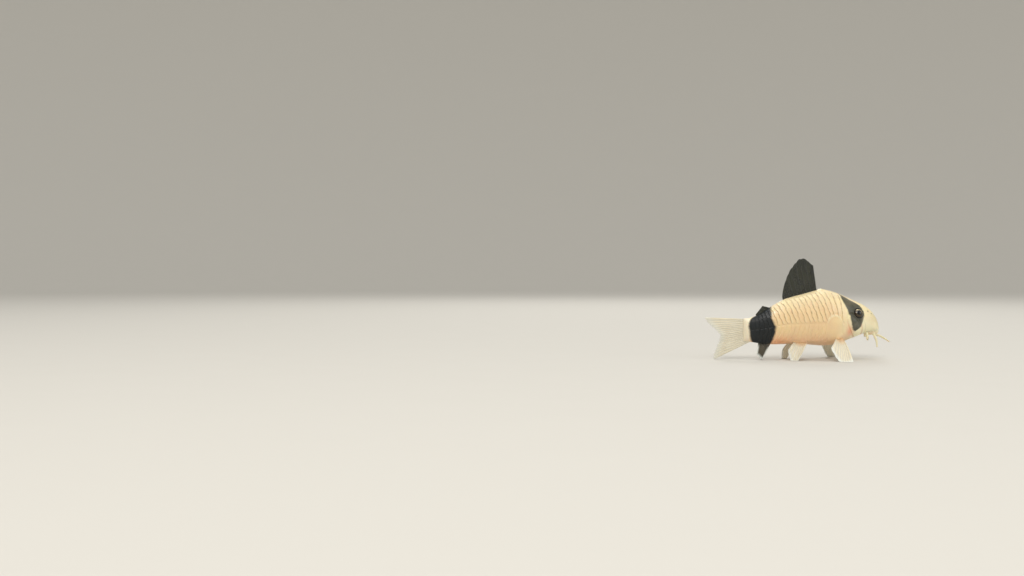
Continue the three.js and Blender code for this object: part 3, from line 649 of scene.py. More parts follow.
def fin_surface(lines, fin, stout, columns=15, rows=64, ragged=0.03):
    """A closed thin fin. Its middle sheet runs straight from the root line to the tip line and is bowed by
    a third function; its half thickness is a film plus the rays' crests, the leading spine and a fleshy root.
    The far edge is cut back between rays, and a part that would pass the floor curls level above it."""
    root, tip, bow = lines
    rays = fin["rays"]
    u = np.linspace(0, 1, rays * columns + 1)[:, None]
    v = np.linspace(0, 1, rows)[None, :] ** 0.9
    cell = u * rays % 1.0
    number = np.floor(u * rays - 1e-6)
    uneven = 0.5 + 0.5 * np.sin(number * 2.4 + rays)
    reach = 1 - ragged * np.abs(2 * cell - 1) ** 1.6 - 0.4 * ragged * uneven * rise(u, 0.1, 0.3)

    def sheet(uu, vv):
        start = root(uu)
        point = start + (tip(uu) - start) * vv[..., None] + bow(uu, vv)
        over = point[..., 2] - FLOOR_CURL["from"]
        low = FLOOR_CURL["least"] + FLOOR_CURL["fade"] * np.exp(np.minimum(over, 0.0) / FLOOR_CURL["fade"])
        point[..., 2] = np.where(over < 0, low, point[..., 2])
        return point

    uu, vv = np.broadcast_arrays(u + 0 * v, v * reach)
    middle = sheet(uu, vv)
    step = 0.004
    across = sheet(np.minimum(uu + step, 1), vv) - sheet(np.maximum(uu - step, 0), vv)
    onward = sheet(uu, np.minimum(vv + step, 1)) - sheet(uu, np.maximum(vv - step, 0))
    normal = np.cross(across, onward)
    normal /= np.maximum(np.linalg.norm(normal, axis=-1, keepdims=True), 1e-9)

    spine_share = bump(uu * rays, 0.2, 0.2)
    crest = ray_pattern(uu, vv, rays, fin["branch"]) * rise(spine_share, 0.6, 0.1)
    half = blend(FIN["root_crest"], FIN["tip_crest"], vv) * crest * (1 - 0.5 * rise(vv, 0.8, 1.0))
    half = half + FIN["film"] + stout * blend(1.0, 0.3, vv) * spine_share
    half = half + FIN["flesh"] * (1 - np.clip(vv / FIN["flesh_to"], 0, 1)) ** 1.5
    half = blend(half, FIN["margin"], rise(vv, 0.93, 1.0))
    half = half * blend(0.55, 1.0, np.sin(np.clip(uu * rays * 2, 0, 1) * math.pi / 2))

    front, rear = middle + normal * half[..., None], middle - normal * half[..., None]
    low = np.minimum(front[..., 2], rear[..., 2])
    raise_by = np.maximum(0.0, FLOOR_CURL["clearance"] - low)[..., None] * np.array([0, 0, 1])
    ring = np.concatenate([front + raise_by, (rear + raise_by)[::-1]])
    c, r = ring.shape[:2]
    index = np.arange(c * r).reshape(c, r)
    after = np.roll(index, -1, axis=0)
    quads = np.stack([index[:, :-1], after[:, :-1], after[:, 1:], index[:, 1:]], axis=-1)
    faces = [quads.reshape(-1, 4)]
    for column, way in ((0, 1), (-1, -1)):
        one, other = index[:c // 2, column], index[c // 2:, column][::-1]
        faces.append(np.stack([one[:-1], other[:-1], other[1:], one[1:]], axis=-1)[:, ::way])
    uv = np.stack([uu, vv], axis=-1)
    uv = np.concatenate([uv, uv[::-1]]).reshape(-1, 2)
    values = {"spine": np.concatenate([spine_share, spine_share[::-1]]).ravel()}
    return ring.reshape(-1, 3), faces, values, uv


def sideways(sway):
    """A bow to the fish's left by a number of millimetres."""
    return np.stack([0 * sway, sway, 0 * sway], axis=-1)


def no_bow(u, v):
    """No bow at all, for a flat fin."""
    return sideways(0 * u * v)


def upright_root(fin, column, depth):
    """An upright fin's root: its share and the body's edge at a place u along it, and the edge's line sunk
    by a depth."""
    def share(u):
        return blend(fin["from"], fin["to"], u)

    def edge(u):
        return section(share(u), column)

    def root(u):
        return in_plane(share(u), 0.0, edge(u) - depth)

    return share, edge, root


def dorsal_lines():
    """The dorsal fin: its rays lean back more from first to last, and shorten by a power of their place."""
    share, edge, root = upright_root(DORSAL, 1, ROOT_DEPTH)

    def tip(u):
        lean = np.radians(DORSAL_LEAN["first"] + DORSAL_LEAN["more"] * u)
        front = blend(DORSAL["spine"], 1.0, rise(u, 0, DORSAL["longest_at"]))
        front = front * (1 - DORSAL["corner"] * rise(u, DORSAL["corner_to"], 0))
        length = DORSAL["length"] * front * (1 - DORSAL["fall"] * u ** DORSAL["fall_power"])
        return in_plane(share(u), length * np.sin(lean), edge(u) + length * np.cos(lean))

    def bow(u, v):
        sway = DORSAL_LEAN["sway"] * np.sin(DORSAL_LEAN["sway_turn"] * u + DORSAL_LEAN["sway_start"])
        return sideways(sway * v**2 + DORSAL_LEAN["ripple"] * np.sin(DORSAL_LEAN["ripple_turn"] * u) * v)

    return root, tip, bow


def adipose_lines():
    """The adipose fin: a short spine lying back, and a skin that slopes down behind it."""
    share, edge, root = upright_root(ADIPOSE, 1, ROOT_DEPTH)
    length, angle = ADIPOSE["length"], ADIPOSE["angle"]
    tip_height = edge(0.0) + ADIPOSE["rise"] + length * math.sin(angle)
    high = in_plane(share(0.0), length * math.cos(angle), tip_height)
    low = in_plane(share(1.0), ADIPOSE["end_back"], edge(1.0) + ADIPOSE["end_up"])

    def tip(u):
        return blend(high, low, rise(u, 0, 1)[..., None])

    return root, tip, no_bow


def anal_lines():
    """The anal fin: its rays grow by a sine, then shorten, and lean back less from first to last."""
    share, edge, root = upright_root(ANAL, 2, -ROOT_DEPTH)

    def tip(u):
        lean = np.radians(ANAL["lean"] + ANAL["more"] * u)
        full = np.sin(math.pi * np.minimum(1, ANAL["first"] + ANAL["arc"] * u)) ** ANAL["roundness"]
        length = ANAL["length"] * blend(full, ANAL["shortest"], u)
        return in_plane(share(u), length * np.sin(lean), edge(u) - length * np.cos(lean))

    return root, tip, no_bow


def tail_lines():
    """The tail fin, both lobes in one: the place w across it gives a lobe's own u, 0 at its outer ray and 1
    at the fork, and the rays' angle and length follow from u."""
    middle = (CAUDAL_ROOT["top"] + CAUDAL_ROOT["bottom"]) / 2
    _x, _y, bend = spine(1.0)

    def lobe(w):
        upper = w <= 0.5
        u = np.where(upper, 2 * w, 2 - 2 * w)
        longest = np.where(upper, CAUDAL["upper_length"], CAUDAL["lower_length"])
        height = blend(np.where(upper, CAUDAL_ROOT["top"], CAUDAL_ROOT["bottom"]), middle, u)
        return upper, u, longest, height

    def place(back, height, longest):
        curl = CAUDAL_ROOT["curl"] * (np.maximum(0, back) / longest) ** 2
        return in_plane(1.0, back, height) + curl[..., None] * np.array([math.sin(bend), math.cos(bend), 0])

    def root(w):
        _upper, _u, longest, height = lobe(w)
        return place(-ROOT_DEPTH, height, longest)

    def tip(w):
        upper, u, longest, height = lobe(w)
        outer = np.where(upper, CAUDAL_ANGLES["upper"], CAUDAL_ANGLES["lower"])
        angle = np.radians(blend(outer, CAUDAL_ANGLES["axis"], u ** CAUDAL_ANGLES["power"]))
        part = (1 - u) ** CAUDAL["fall_power"] * (1 - CAUDAL["corner"] * rise(u, CAUDAL["corner_to"], 0))
        length = blend(CAUDAL["middle"] * CAUDAL["upper_length"], longest, part)
        return place(length * np.cos(angle), height + length * np.sin(angle), longest)

    def bow(w, v):
        swell = np.sin(math.pi * np.clip(v, 0, 1)) * v
        return sideways(CAUDAL["ripple"] * np.sin(w * CAUDAL["ripple_turn"] + 1) * swell)

    return root, tip, bow


def paired_lines(fin, hand, side):
    """A pectoral or pelvic fin: its tips follow the quadratic curve through its first, middle and last tips,
    measured forwards, outwards and down from the body."""
    tips = np.array(fin[hand])

    def share(u):
        return blend(fin["from"], fin["to"], u)

    def root(u):
        return body_point(share(u), fin["turn"], side, -ROOT_DEPTH)

    def tip(u):
        weights = np.stack([(1 - u) * (1 - 2 * u), 4 * u * (1 - u), u * (2 * u - 1)], axis=-1)
        return body_point(share(u), fin["turn"], side) + weights @ tips * np.array([1, side, -1])

    def bow(u, v):
        arch = np.sin(math.pi * v) + 0 * u
        return arch[..., None] * np.array([0, side * PAIRED_ARCH["out"], PAIRED_ARCH["up"]])

    return root, tip, bow


# ---------------------------------------------------------------- mouth and barbels

BARBEL_SIDES = 16
BARBEL_ROWS = 56


def curve_through(points, count):
    """A Catmull-Rom curve through points, at evenly spread places along it."""
    p = np.concatenate([[2 * points[0] - points[1]], points, [2 * points[-1] - points[-2]]])
    t = np.linspace(0, len(points) - 1, count)
    i = np.minimum(t.astype(int), len(points) - 2)
    f = (t - i)[:, None]
    a, b, c, d = p[i], p[i + 1], p[i + 2], p[i + 3]
    return 0.5 * (2 * b + (c - a) * f + (2 * a - 5 * b + 4 * c - d) * f**2 + (3 * b - a - 3 * c + d) * f**3)


def sweep(path, radius):
    """A round tube of changing radius along a path: each ring lies across the path's direction, turned from
    one fixed sideways direction."""
    way = np.gradient(path, axis=0)
    way /= np.linalg.norm(way, axis=1, keepdims=True)
    across = np.cross(way, np.array([0.3, 1.0, 0.2]))
    across /= np.linalg.norm(across, axis=1, keepdims=True)
    other = np.cross(way, across)
    angle = np.linspace(0, 2 * math.pi, BARBEL_SIDES, endpoint=False)
    ring = np.cos(angle)[None, :, None] * across[:, None] + np.sin(angle)[None, :, None] * other[:, None]
    return closed_tube(path[:, None] + ring * np.asarray(radius)[:, None, None])


def barbel_tube(side, share, out, reach, sag, sizes):
    """One barbel: it starts inside the lip, passes a sagging knee and tapers to a round tip."""
    root = np.array([-share * STANDARD_LENGTH, side * out, BARBEL_ROOT_HEIGHT])
    tip = root + np.array([reach[0], side * reach[1], -reach[2]])
    inward = np.array([-np.sign(reach[0]) * 0.15, -side * 0.25, 0.5])
    knee = blend(root, tip, 0.5) + np.array([sag, side * sag * 0.6, 0])
    path = curve_through(np.array([root + inward, root, knee, tip]), BARBEL_ROWS)
    t = np.linspace(0, 1, BARBEL_ROWS)
    radius = blend(sizes.barbel_radius / MM, 0.17, t**1.5) * np.sqrt(np.clip((1 - t) / 0.03, 0.02, 1))
    radius = radius + 0.22 * np.clip(1 - t / 0.16, 0, 1) ** 2
    return sweep(path, radius)


def lip_ring():
    """The lips: an oval tube round the mouth, fuller at its sides, with a slight fold along its middle."""
    p = np.linspace(0, 2 * math.pi, 64, endpoint=False)[:, None]
    q = np.linspace(0, 2 * math.pi, 20, endpoint=False)[None, :]
    thick = MOUTH["lip"] * (0.86 + 0.14 * np.cos(2 * p)) * (1 - 0.06 * np.cos(9 * p))
    out = 1 + 0 * q + thick / MOUTH["width"] * np.cos(q)
    x = -MOUTH["share"] * STANDARD_LENGTH + MOUTH["length"] * out * np.cos(p) * 0.98
    y = MOUTH["width"] * out * np.sin(p) * 0.98
    z = MOUTH["height"] + 0.9 * thick * np.sin(q)
    rings = np.stack([x, y, z], axis=-1)
    rows, columns = rings.shape[:2]
    quads = tube_faces(rows + 1, columns) % (rows * columns)
    return rings.reshape(-1, 3), [quads]


def remeshed(name, parts, voxel, smoothing):
    """One closed flesh from overlapping closed parts: voxels of a given size in millimetres, then each point
    moved towards the middle of its neighbours. The mesh is worked on a thousand times its size."""
    points, faces = join(parts)
    mesh = bpy.data.meshes.new(name)
    mesh.from_pydata(points.tolist(), [], [row for rows in faces for row in rows.tolist()])
    rough = bpy.data.objects.new(name, mesh)
    bpy.context.scene.collection.objects.link(rough)
    voxels = rough.modifiers.new("voxels", "REMESH")
    voxels.mode = "VOXEL"
    voxels.voxel_size = voxel
    relax = rough.modifiers.new("relax", "SMOOTH")
    relax.factor = 0.5
    relax.iterations = smoothing
    bpy.context.view_layer.update()
    made = bpy.data.meshes.new_from_object(rough.evaluated_get(bpy.context.evaluated_depsgraph_get()))
    out = np.zeros(len(made.vertices) * 3)
    made.vertices.foreach_get("co", out)
    corners = np.zeros(len(made.loops), np.int32)
    made.loops.foreach_get("vertex_index", corners)
    sizes = np.zeros(len(made.polygons), np.int32)
    made.polygons.foreach_get("loop_total", sizes)
    if not (sizes == 4).all():
        raise RuntimeError(f"{name}: the voxels gave faces that aren't quads")
    bpy.data.objects.remove(rough)
    bpy.data.meshes.remove(mesh)
    bpy.data.meshes.remove(made)
    return out.reshape(-1, 3), [corners.reshape(-1, 4)]


# ---------------------------------------------------------------- material nodes

class Value:
    """A node's output. Sums, differences, products and quotients of values are Math nodes."""

    def __init__(self, nodes, socket):
        self.nodes = nodes
        self.socket = socket

    def __add__(self, other):
        return self.nodes.math("ADD", self, other)

    def __sub__(self, other):
        return self.nodes.math("SUBTRACT", self, other)

    def __rsub__(self, other):
        return self.nodes.math("SUBTRACT", other, self)

    def __mul__(self, other):
        return self.nodes.math("MULTIPLY", self, other)

    def __truediv__(self, other):
        return self.nodes.math("DIVIDE", self, other)

    def __abs__(self):
        return self.nodes.math("ABSOLUTE", self)


class Nodes:
    """Adds nodes to a material's or a group's tree."""

    def __init__(self, tree):
        self.tree = tree

    def join(self, value, socket):
        """Joins a value to a socket, or sets the socket to a plain value."""
        if isinstance(value, Value):
            self.tree.links.new(value.socket, socket)
        else:
            socket.default_value = value

    def add(self, kind, output=0, inputs=None, **settings):
        """Adds a node with its settings and inputs. It gives one output, or several where they are listed."""
        node = self.tree.nodes.new(kind)
        for key, value in settings.items():
            setattr(node, key, value)
        for key, value in (inputs or {}).items():
            self.join(value, node.inputs[key])
        if isinstance(output, tuple):
            return [Value(self, node.outputs[key]) for key in output]
        return Value(self, node.outputs[output])

    def math(self, operation, *values, clamp=False):
        """A Math node's result."""
        return self.add("ShaderNodeMath", 0, dict(enumerate(values)), operation=operation, use_clamp=clamp)

    def ramp(self, value, low, high, to_low=0.0, to_high=1.0):
        """A value brought smoothly from one range to another."""
        inputs = {"Value": value, "From Min": low, "From Max": high, "To Min": to_low, "To Max": to_high}
        return self.add("ShaderNodeMapRange", 0, inputs, interpolation_type="SMOOTHSTEP")

    def near(self, value, centre, width):
        """1 where a value is at a centre, falling smoothly to 0 a width away."""
        return self.ramp(abs(value - centre), width, 0.0)

    def lay(self, colour, *layers, mode="MIX"):
        """A colour with others laid over it in turn, each by its own mask."""
        for mask, over in layers:
            inputs = {0: mask, 6: rgba(colour), 7: rgba(over)}
            colour = self.add("ShaderNodeMix", 2, inputs, data_type="RGBA", blend_type=mode)
        return colour

    def noise(self, where, scale, detail=4.0, roughness=0.55):
        """A noise texture's value."""
        inputs = {"Vector": where, "Scale": scale, "Detail": detail, "Roughness": roughness}
        return self.add("ShaderNodeTexNoise", "Fac", inputs)

    def cells(self, where, scale, feature="F1"):
        """The distance to the nearest middle of a Voronoi pattern's cells."""
        inputs = {"Vector": where, "Scale": scale}
        return self.add("ShaderNodeTexVoronoi", "Distance", inputs, feature=feature)

    def read(self, name, output="Fac"):
        """A value kept on the piece's points."""
        return self.add("ShaderNodeAttribute", output, attribute_name=name)

    def place(self):
        """The piece's own coordinates."""
        return self.add("ShaderNodeTexCoord", "Object")

    def use(self, name, output, **inputs):
        """A shared group's output."""
        return self.add("ShaderNodeGroup", output, inputs, node_tree=shared(name))

    def bump(self, height, strength, distance):
        """A normal from a height, with its distance in metres."""
        return self.add("ShaderNodeBump", 0, {"Height": height, "Strength": strength, "Distance": distance})

    def surface(self, **values):
        """Joins values to the shader's sockets, named with _ for a space."""
        shader = self.tree.nodes["Principled BSDF"]
        for key, value in values.items():
            self.join(value, shader.inputs[key.replace("_", " ")])


def rgba(colour):
    """A colour property as four numbers. A node's output stays as it is."""
    return colour if isinstance(colour, Value) else (*colour[:3], 1.0)


def new_group(name, inputs, outputs):
    """An empty node group whose inputs are numbers with defaults, or a vector where none is given."""
    tree = bpy.data.node_groups.new(name, "ShaderNodeTree")
    for key, value in inputs.items():
        kind = "NodeSocketVector" if value is None else "NodeSocketFloat"
        socket = tree.interface.new_socket(key, in_out="INPUT", socket_type=kind)
        if value is not None:
            socket.default_value = value
    for key in outputs:
        tree.interface.new_socket(key, in_out="OUTPUT", socket_type="NodeSocketFloat")
    n = Nodes(tree)
    given = tree.nodes.new("NodeGroupInput").outputs
    result = tree.nodes.new("NodeGroupOutput").inputs
    return n, [Value(n, given[key]) for key in inputs], result


def soft_edge_group(name):
    """A mask from a distance inside an outline, with a soft, ragged edge."""
    inputs = {"Distance": 0.0, "Vector": None, "Width": 0.5, "Ragged": 0.5}
    n, (distance, where, width, ragged), result = new_group(name, inputs, ("Mask",))
    off = (n.noise(where, 650.0, 3.0, 0.6) - 0.5) * ragged
    n.join(n.ramp((distance + off * 2.0) / width, -0.5, 0.5), result["Mask"])


def speckle_group(name):
    """Small dots of uneven size: the middles of the cells of a Voronoi pattern, thinned by a soft noise."""
    inputs = {"Vector": None, "Scale": 5000.0, "Cover": 0.4}
    n, (where, scale, cover), result = new_group(name, inputs, ("Mask",))
    size = n.noise(where, 420.0, 2.0, 0.5) * cover
    n.join(n.ramp(size - n.cells(where, scale), -0.03, 0.05), result["Mask"])


def grain_group(name):
    """The height of a fine-grained wet hide: a close noise over small round bosses."""
    inputs = {"Vector": None, "Scale": 4000.0, "Bosses": 0.5}
    n, (where, scale, bosses), result = new_group(name, inputs, ("Height",))
    domes = (0.6 - n.cells(where, scale, "SMOOTH_F1")) * bosses
    n.join(n.noise(where, scale, 3.0, 0.5) + domes, result["Height"])


def rays_group(name):
    """The rays of a fin from its own u and v: the distance to the nearest ray, parted twice towards the edge,
    as a soft line. Joints are thin cross lines on the rays."""
    inputs = {"U": 0.0, "V": 0.0, "Rays": 8.0, "Branch": 0.42, "Joints": 26.0}
    n, (u, v, rays, branch, joints), result = new_group(name, inputs, ("Ray", "Joint"))
    away = abs(n.math("FRACT", u * rays) - 0.5)
    away = abs(away - n.ramp(v, branch, 1.05, 0.0, 0.21))
    away = abs(away - n.ramp(v, branch + 0.25, 1.1, 0.0, 0.09))
    ray = n.ramp(away / n.ramp(v, branch, 1.0, 0.15, 0.075), 1.0, 0.35)
    line = n.ramp(abs(n.math("FRACT", v * joints) - 0.5), 0.34, 0.48)
    n.join(ray, result["Ray"])
    n.join(line * ray * n.ramp(v, 0.2, 0.4), result["Joint"])


GROUPS = {
    "Soft edge": soft_edge_group,
    "Speckle": speckle_group,
    "Hide grain": grain_group,
    "Fin rays": rays_group,
}


def shared(name):
    """The shared node group of a name, built once."""
    if name not in bpy.data.node_groups:
        GROUPS[name](name)
    return bpy.data.node_groups[name]


# ---------------------------------------------------------------- materials

def new_material(name, **constants):
    """A material with a Principled BSDF whose plain values are set on its own sockets."""
    made = bpy.data.materials.new(name)
    made.use_nodes = True
    n = Nodes(made.node_tree)
    n.surface(**constants)
    return made, n


def skin_material(colours):
    """Cream hide under a wet film. Laid over it in turn are the tones of flank, belly and head, the shoulder
    and the painted highlight on its rim, the gill's pink, the scutes' painted highlights and the painted
    shade at their edges, painted shade in the seams, the dust, the mask, the blotch, a dark ring round the
    eye and painted shade in the nostrils."""
    made, n = new_material(
        "skin", Subsurface_Weight=0.15, Subsurface_Scale=0.0012, Subsurface_Radius=(1.0, 0.55, 0.3),
        Coat_Roughness=0.14, IOR=1.4,
    )
    where = n.place()
    share, turn, cover, shoulder = (n.read(key) for key in ("share", "turn", "gill_cover", "shoulder"))
    patch, small = n.noise(where, 260.0), n.noise(where, 1100.0)

    # Broad tones from the back to the belly, on head and tail, then the shoulder and a painted highlight on
    # its upper rim, gill cover and gill.
    colour = n.lay(
        colours.back,
        (n.ramp(turn, 0.14, 0.4) * n.ramp(share, 0.3, 0.42), colours.flank),
        (n.ramp(turn, 0.56, 0.78) * n.ramp(share, 0.2, 0.34) * n.ramp(patch, 0.2, 0.7, 0.7), colours.belly),
        (n.near(share, 0.79, 0.12) * n.ramp(turn, 0.62, 0.85) * 0.75, colours.vent),
        (n.ramp(share, 0.34, 0.22) * n.ramp(turn, 0.36, 0.52), colours.cheek_and_highlight),
        (n.ramp(share, 0.18, 0.07) * n.ramp(turn, 0.62, 0.42) * 0.8, colours.snout),
        (n.ramp(share, 0.975, 1.015) * 0.8, colours.film),
        (n.ramp(turn, 0.16, 0.03) * n.ramp(small, 0.3, 0.7) * 0.3, colours.dust_and_seam_shade),
        (n.ramp(shoulder, 1.1, 0.7) * 0.1, colours.shoulder),
        # Painted highlight: a paler band along the shoulder plate's upper rim.
        (n.near(shoulder, 0.93, 0.14) * n.ramp(turn, 0.55, 0.4) * 0.6, colours.cheek_and_highlight),
        (n.near(cover, 1.12, 0.16) * n.ramp(turn, 0.42, 0.56) * 0.45, colours.gill),
        (n.read("gill_flush") * 0.85, colours.gill),
    )
    colour = n.lay(colour, (n.ramp(patch, 0.3, 0.7) * 0.3, colours.cheek_and_highlight), mode="SOFT_LIGHT")

    # Scutes: a broken brown line of painted shade at each rear edge, behind a pale band of painted highlight,
    # strongest in the middle of the upper row.
    edge = n.read("plate_edge") * n.ramp(small, 0.34, 0.6, 0.3) * n.ramp(patch, 0.3, 0.6, 0.45)
    amount = n.read("upper_row") * 0.52 + 0.1
    middle = n.ramp(abs(turn - 0.3), 0.24, 0.06, 0.35)
    # A thin line of painted shade along the groove where the two rows of scutes meet.
    line = n.near(turn, 0.5, 0.012) * n.ramp(share, 0.33, 0.4) * n.ramp(shoulder, 0.98, 1.1) * 0.06
    dust = n.use("Speckle", "Mask", Vector=where, Scale=5200.0, Cover=0.75)

    # The mask over the eye, the tail's blotch, a dark ring round the eye, and painted shade in the nostrils.
    bands = (("mask_inside", 0.6, 0.4), ("blotch_inside", 0.8, 0.5))
    mask, blotch = (
        n.use("Soft edge", "Mask", Distance=n.read(key), Vector=where, Width=width, Ragged=ragged)
        for key, width, ragged in bands
    )
    colour = n.lay(
        colour,
        # Painted highlight: a paler band before each upper scute's rear edge.
        (n.read("plate_light") * n.ramp(small, 0.3, 0.6, 0.2) * 0.4, colours.cheek_and_highlight),
        # Painted shade: brown lines at the scutes' rear edges and between the rows.
        (edge * amount * middle, colours.scute_shade_and_dust),
        (line, colours.scute_shade_and_dust),
        # Painted shade in the seams between the head's plates.
        (n.read("seam") * 0.22, colours.dust_and_seam_shade),
        (dust * n.ramp(turn, 0.62, 0.15, 0.02, 0.22), colours.scute_shade_and_dust),
        (mask * n.ramp(patch, 0.32, 0.62, 0.9) * 0.96, colours.mask),
        (blotch, colours.blotch),
        # A dark ring round the eye, where it meets its socket.
        (n.near(n.read("from_eye"), 1.46, 0.2) * 0.75, colours.blotch),
        # Painted shade in the nostrils' pits.
        (n.read("hollow") * 0.85, colours.blotch),
    )
    grain = n.use("Hide grain", "Height", Vector=where, Scale=6500.0, Bosses=0.5)
    relief = grain * 0.5 + n.noise(where, 900.0, 2.0) * 0.7 - edge * 0.4
    n.surface(
        Base_Color=colour,
        Roughness=n.ramp(patch, 0.3, 0.75, 0.3, 0.44) + (dust * 0.08 + blotch * 0.16),
        Coat_Weight=n.ramp(patch, 0.2, 0.8, 0.4, 0.18) * n.ramp(blotch, 0.0, 1.0, 1.0, 0.4),
        Normal=n.bump(relief, 0.45, 0.00005),
    )
    return made


def flesh_material(colours):
    """The lips' and barbels' soft, half clear skin, deeper in tone in patches and dusted with fine dots."""
    made, n = new_material(
        "barbel_flesh", Subsurface_Weight=0.25, Subsurface_Scale=0.0012, Subsurface_Radius=(1.0, 0.6, 0.4),
        Coat_Weight=0.35, Coat_Roughness=0.14,
    )
    where = n.place()
    noise = n.noise(where, 700.0)
    dust = n.use("Speckle", "Mask", Vector=where, Scale=6000.0, Cover=0.55)
    grain = n.use("Hide grain", "Height", Vector=where, Scale=5200.0, Bosses=0.5)
    n.surface(
        Base_Color=n.lay(
            colours.barbel, (n.ramp(noise, 0.4, 0.75, 0.0, 0.8), colours.lip), (dust * 0.2, colours.dust_and_seam_shade)),
        Roughness=n.ramp(noise, 0.3, 0.7, 0.3, 0.45),
        Normal=n.bump(grain, 0.4, 0.00004),
    )
    return made


def fin_material(name, colours, fin, tones, clear, margin=(0.0, 0.0, 0.0), joints=26.0, shade=0.2):
    """A fin: rays in a half clear film, with fine dots, joints and a milky margin. The tones are those of the
    rays, the film, the shade and the fleshy root. clear is the film's and the rays' cover, and margin is the
    milky margin's depth of colour, its cover and its share at the sides. It reads the fin's own u and v."""
    made, n = new_material(name, Coat_Weight=0.2, Coat_Roughness=0.2)
    ray, film, dark, root = tones
    rim, rim_cover, side_rim = margin
    where = n.place()
    uv = n.add("ShaderNodeUVMap", "UV", uv_map="fin_uv")
    u, v = n.add("ShaderNodeSeparateXYZ", ("X", "Y"), {"Vector": uv})
    numbers = {"Rays": float(fin["rays"]), "Branch": fin["branch"], "Joints": joints}
    lines, joint = n.use("Fin rays", ("Ray", "Joint"), U=u, V=v, **numbers)
    solid = n.math("MAXIMUM", lines, n.ramp(n.read("spine"), 0.25, 0.7))
    noise = n.noise(where, 500.0)
    dust = n.use("Speckle", "Mask", Vector=where, Scale=4200.0, Cover=0.5)
    sides = n.ramp(abs(u - 0.5), 0.32, 0.46) * n.ramp(v, 0.2, 0.5) * side_rim
    edge = n.math("MAXIMUM", n.ramp(v + noise * 0.08, 0.8, 1.0), sides)
    colour = n.lay(
        film,
        (solid, ray),
        (n.ramp(noise, 0.35, 0.7) * shade, dark),
        (joint * 0.3, dark),
        (dust * shade, colours.dust_and_seam_shade),
        (n.ramp(v, 0.36, 0.12), root),
        (edge * rim, colours.fin_rim),
    )
    cover = n.math("MAXIMUM", n.ramp(solid, 0.0, 1.0, *clear), n.ramp(v, 0.34, 0.1))
    cover = n.math("ADD", cover, edge * rim_cover, clamp=True)
    n.surface(
        Base_Color=colour,
        Alpha=n.math("ADD", cover, dust * 0.08, clamp=True),
        Roughness=n.ramp(noise, 0.3, 0.7, 0.32, 0.48),
        Normal=n.bump(solid - joint * 0.5 + noise * 0.4, 0.5, 0.00006),
    )
    return made


def eye_material(colours):
    """A black pupil in a dark iris with a broken ring and a painted highlight, a pale crescent, above it,
    under a clear wet coat.
    It reads the point's place across the eye, 1 at its rim."""
    made, n = new_material("eye", Coat_Weight=1.0, Coat_Roughness=0.02, Coat_IOR=1.38, IOR=1.38)
    spot = n.read("across", "Vector")
    x, y = n.add("ShaderNodeSeparateXYZ", ("X", "Y"), {"Vector": spot})
    noise, streaks = n.noise(spot, 7.0, 5.0), n.noise(spot, 26.0, 3.0)
    away = n.add("ShaderNodeVectorMath", "Value", {0: spot}, operation="LENGTH") + (noise - 0.5) * 0.08
    # The painted highlight, a pale crescent, lies up and back across the eye.
    crescent = n.ramp(y - x * 0.55, 0.1, 0.55) * n.near(away, 0.66, 0.15) * n.ramp(noise, 0.35, 0.6, 0.5)
    colour = n.lay(
        colours.iris,
        (n.ramp(streaks, 0.4, 0.72, 0.0, 0.7), colours.iris_gold),
        (n.ramp(away, 0.7, 0.84) * 0.95, colours.pupil),
        (crescent * 0.9, colours.eye_painted_highlight),
        (n.near(away, 0.5, 0.06) * n.ramp(streaks, 0.3, 0.6, 0.4, 0.9), colours.iris_ring),
        (n.ramp(away, 0.485, 0.45), colours.pupil),
    )
    n.surface(
        Base_Color=colour,
        Roughness=n.ramp(noise, 0.3, 0.7, 0.08, 0.2),
        Metallic=n.ramp(away, 0.47, 0.55, 0.0, 0.3),
        Normal=n.bump(streaks, 0.15, 0.00003),
    )
    return made


def stage_material(colours):
    """Matt pale paper with a faint even tooth."""
    made, n = new_material("stage_paper", Specular_IOR_Level=0.2)
    noise = n.noise(n.place(), 60.0, 3.0, 0.5)
    n.surface(
        Base_Color=n.lay(colours.stage, (noise * 0.06, STAGE_SHADE)),
        Roughness=n.ramp(noise, 0.3, 0.7, 0.85, 0.95),
    )
    return made


# ---------------------------------------------------------------- properties

def colour_setting(name, description, colour):
    """A colour property whose default is given in everyday screen values of 0 to 255."""
    linear = [((c / 255 + 0.055) / 1.055) ** 2.4 if c > 10 else c / 255 / 12.92 for c in colour]
    return bpy.props.FloatVectorProperty(
        name=name, description=description, subtype="COLOR", size=3, min=0, max=1, default=linear)


def length_setting(name, description, value):
    """A length property whose default is given in millimetres."""
    return bpy.props.FloatProperty(
        name=name, description=description, default=value * MM, min=0.0, unit="LENGTH", precision=5)


class CatfishSizes(bpy.types.PropertyGroup):
    """Sizes of the surface detail."""

    scute_relief: length_setting("Scute relief", "How far a scute's rear edge stands over the next", 0.17)
    barbel_radius: length_setting("Barbel radius", "Radius of a barbel at its root", 0.48)
    dorsal_spine: length_setting("Dorsal spine", "Half thickness of the spine in the dorsal fin", 0.26)
    pectoral_spine: length_setting("Pectoral spine", "Half thickness of the spine in a pectoral fin", 0.3)


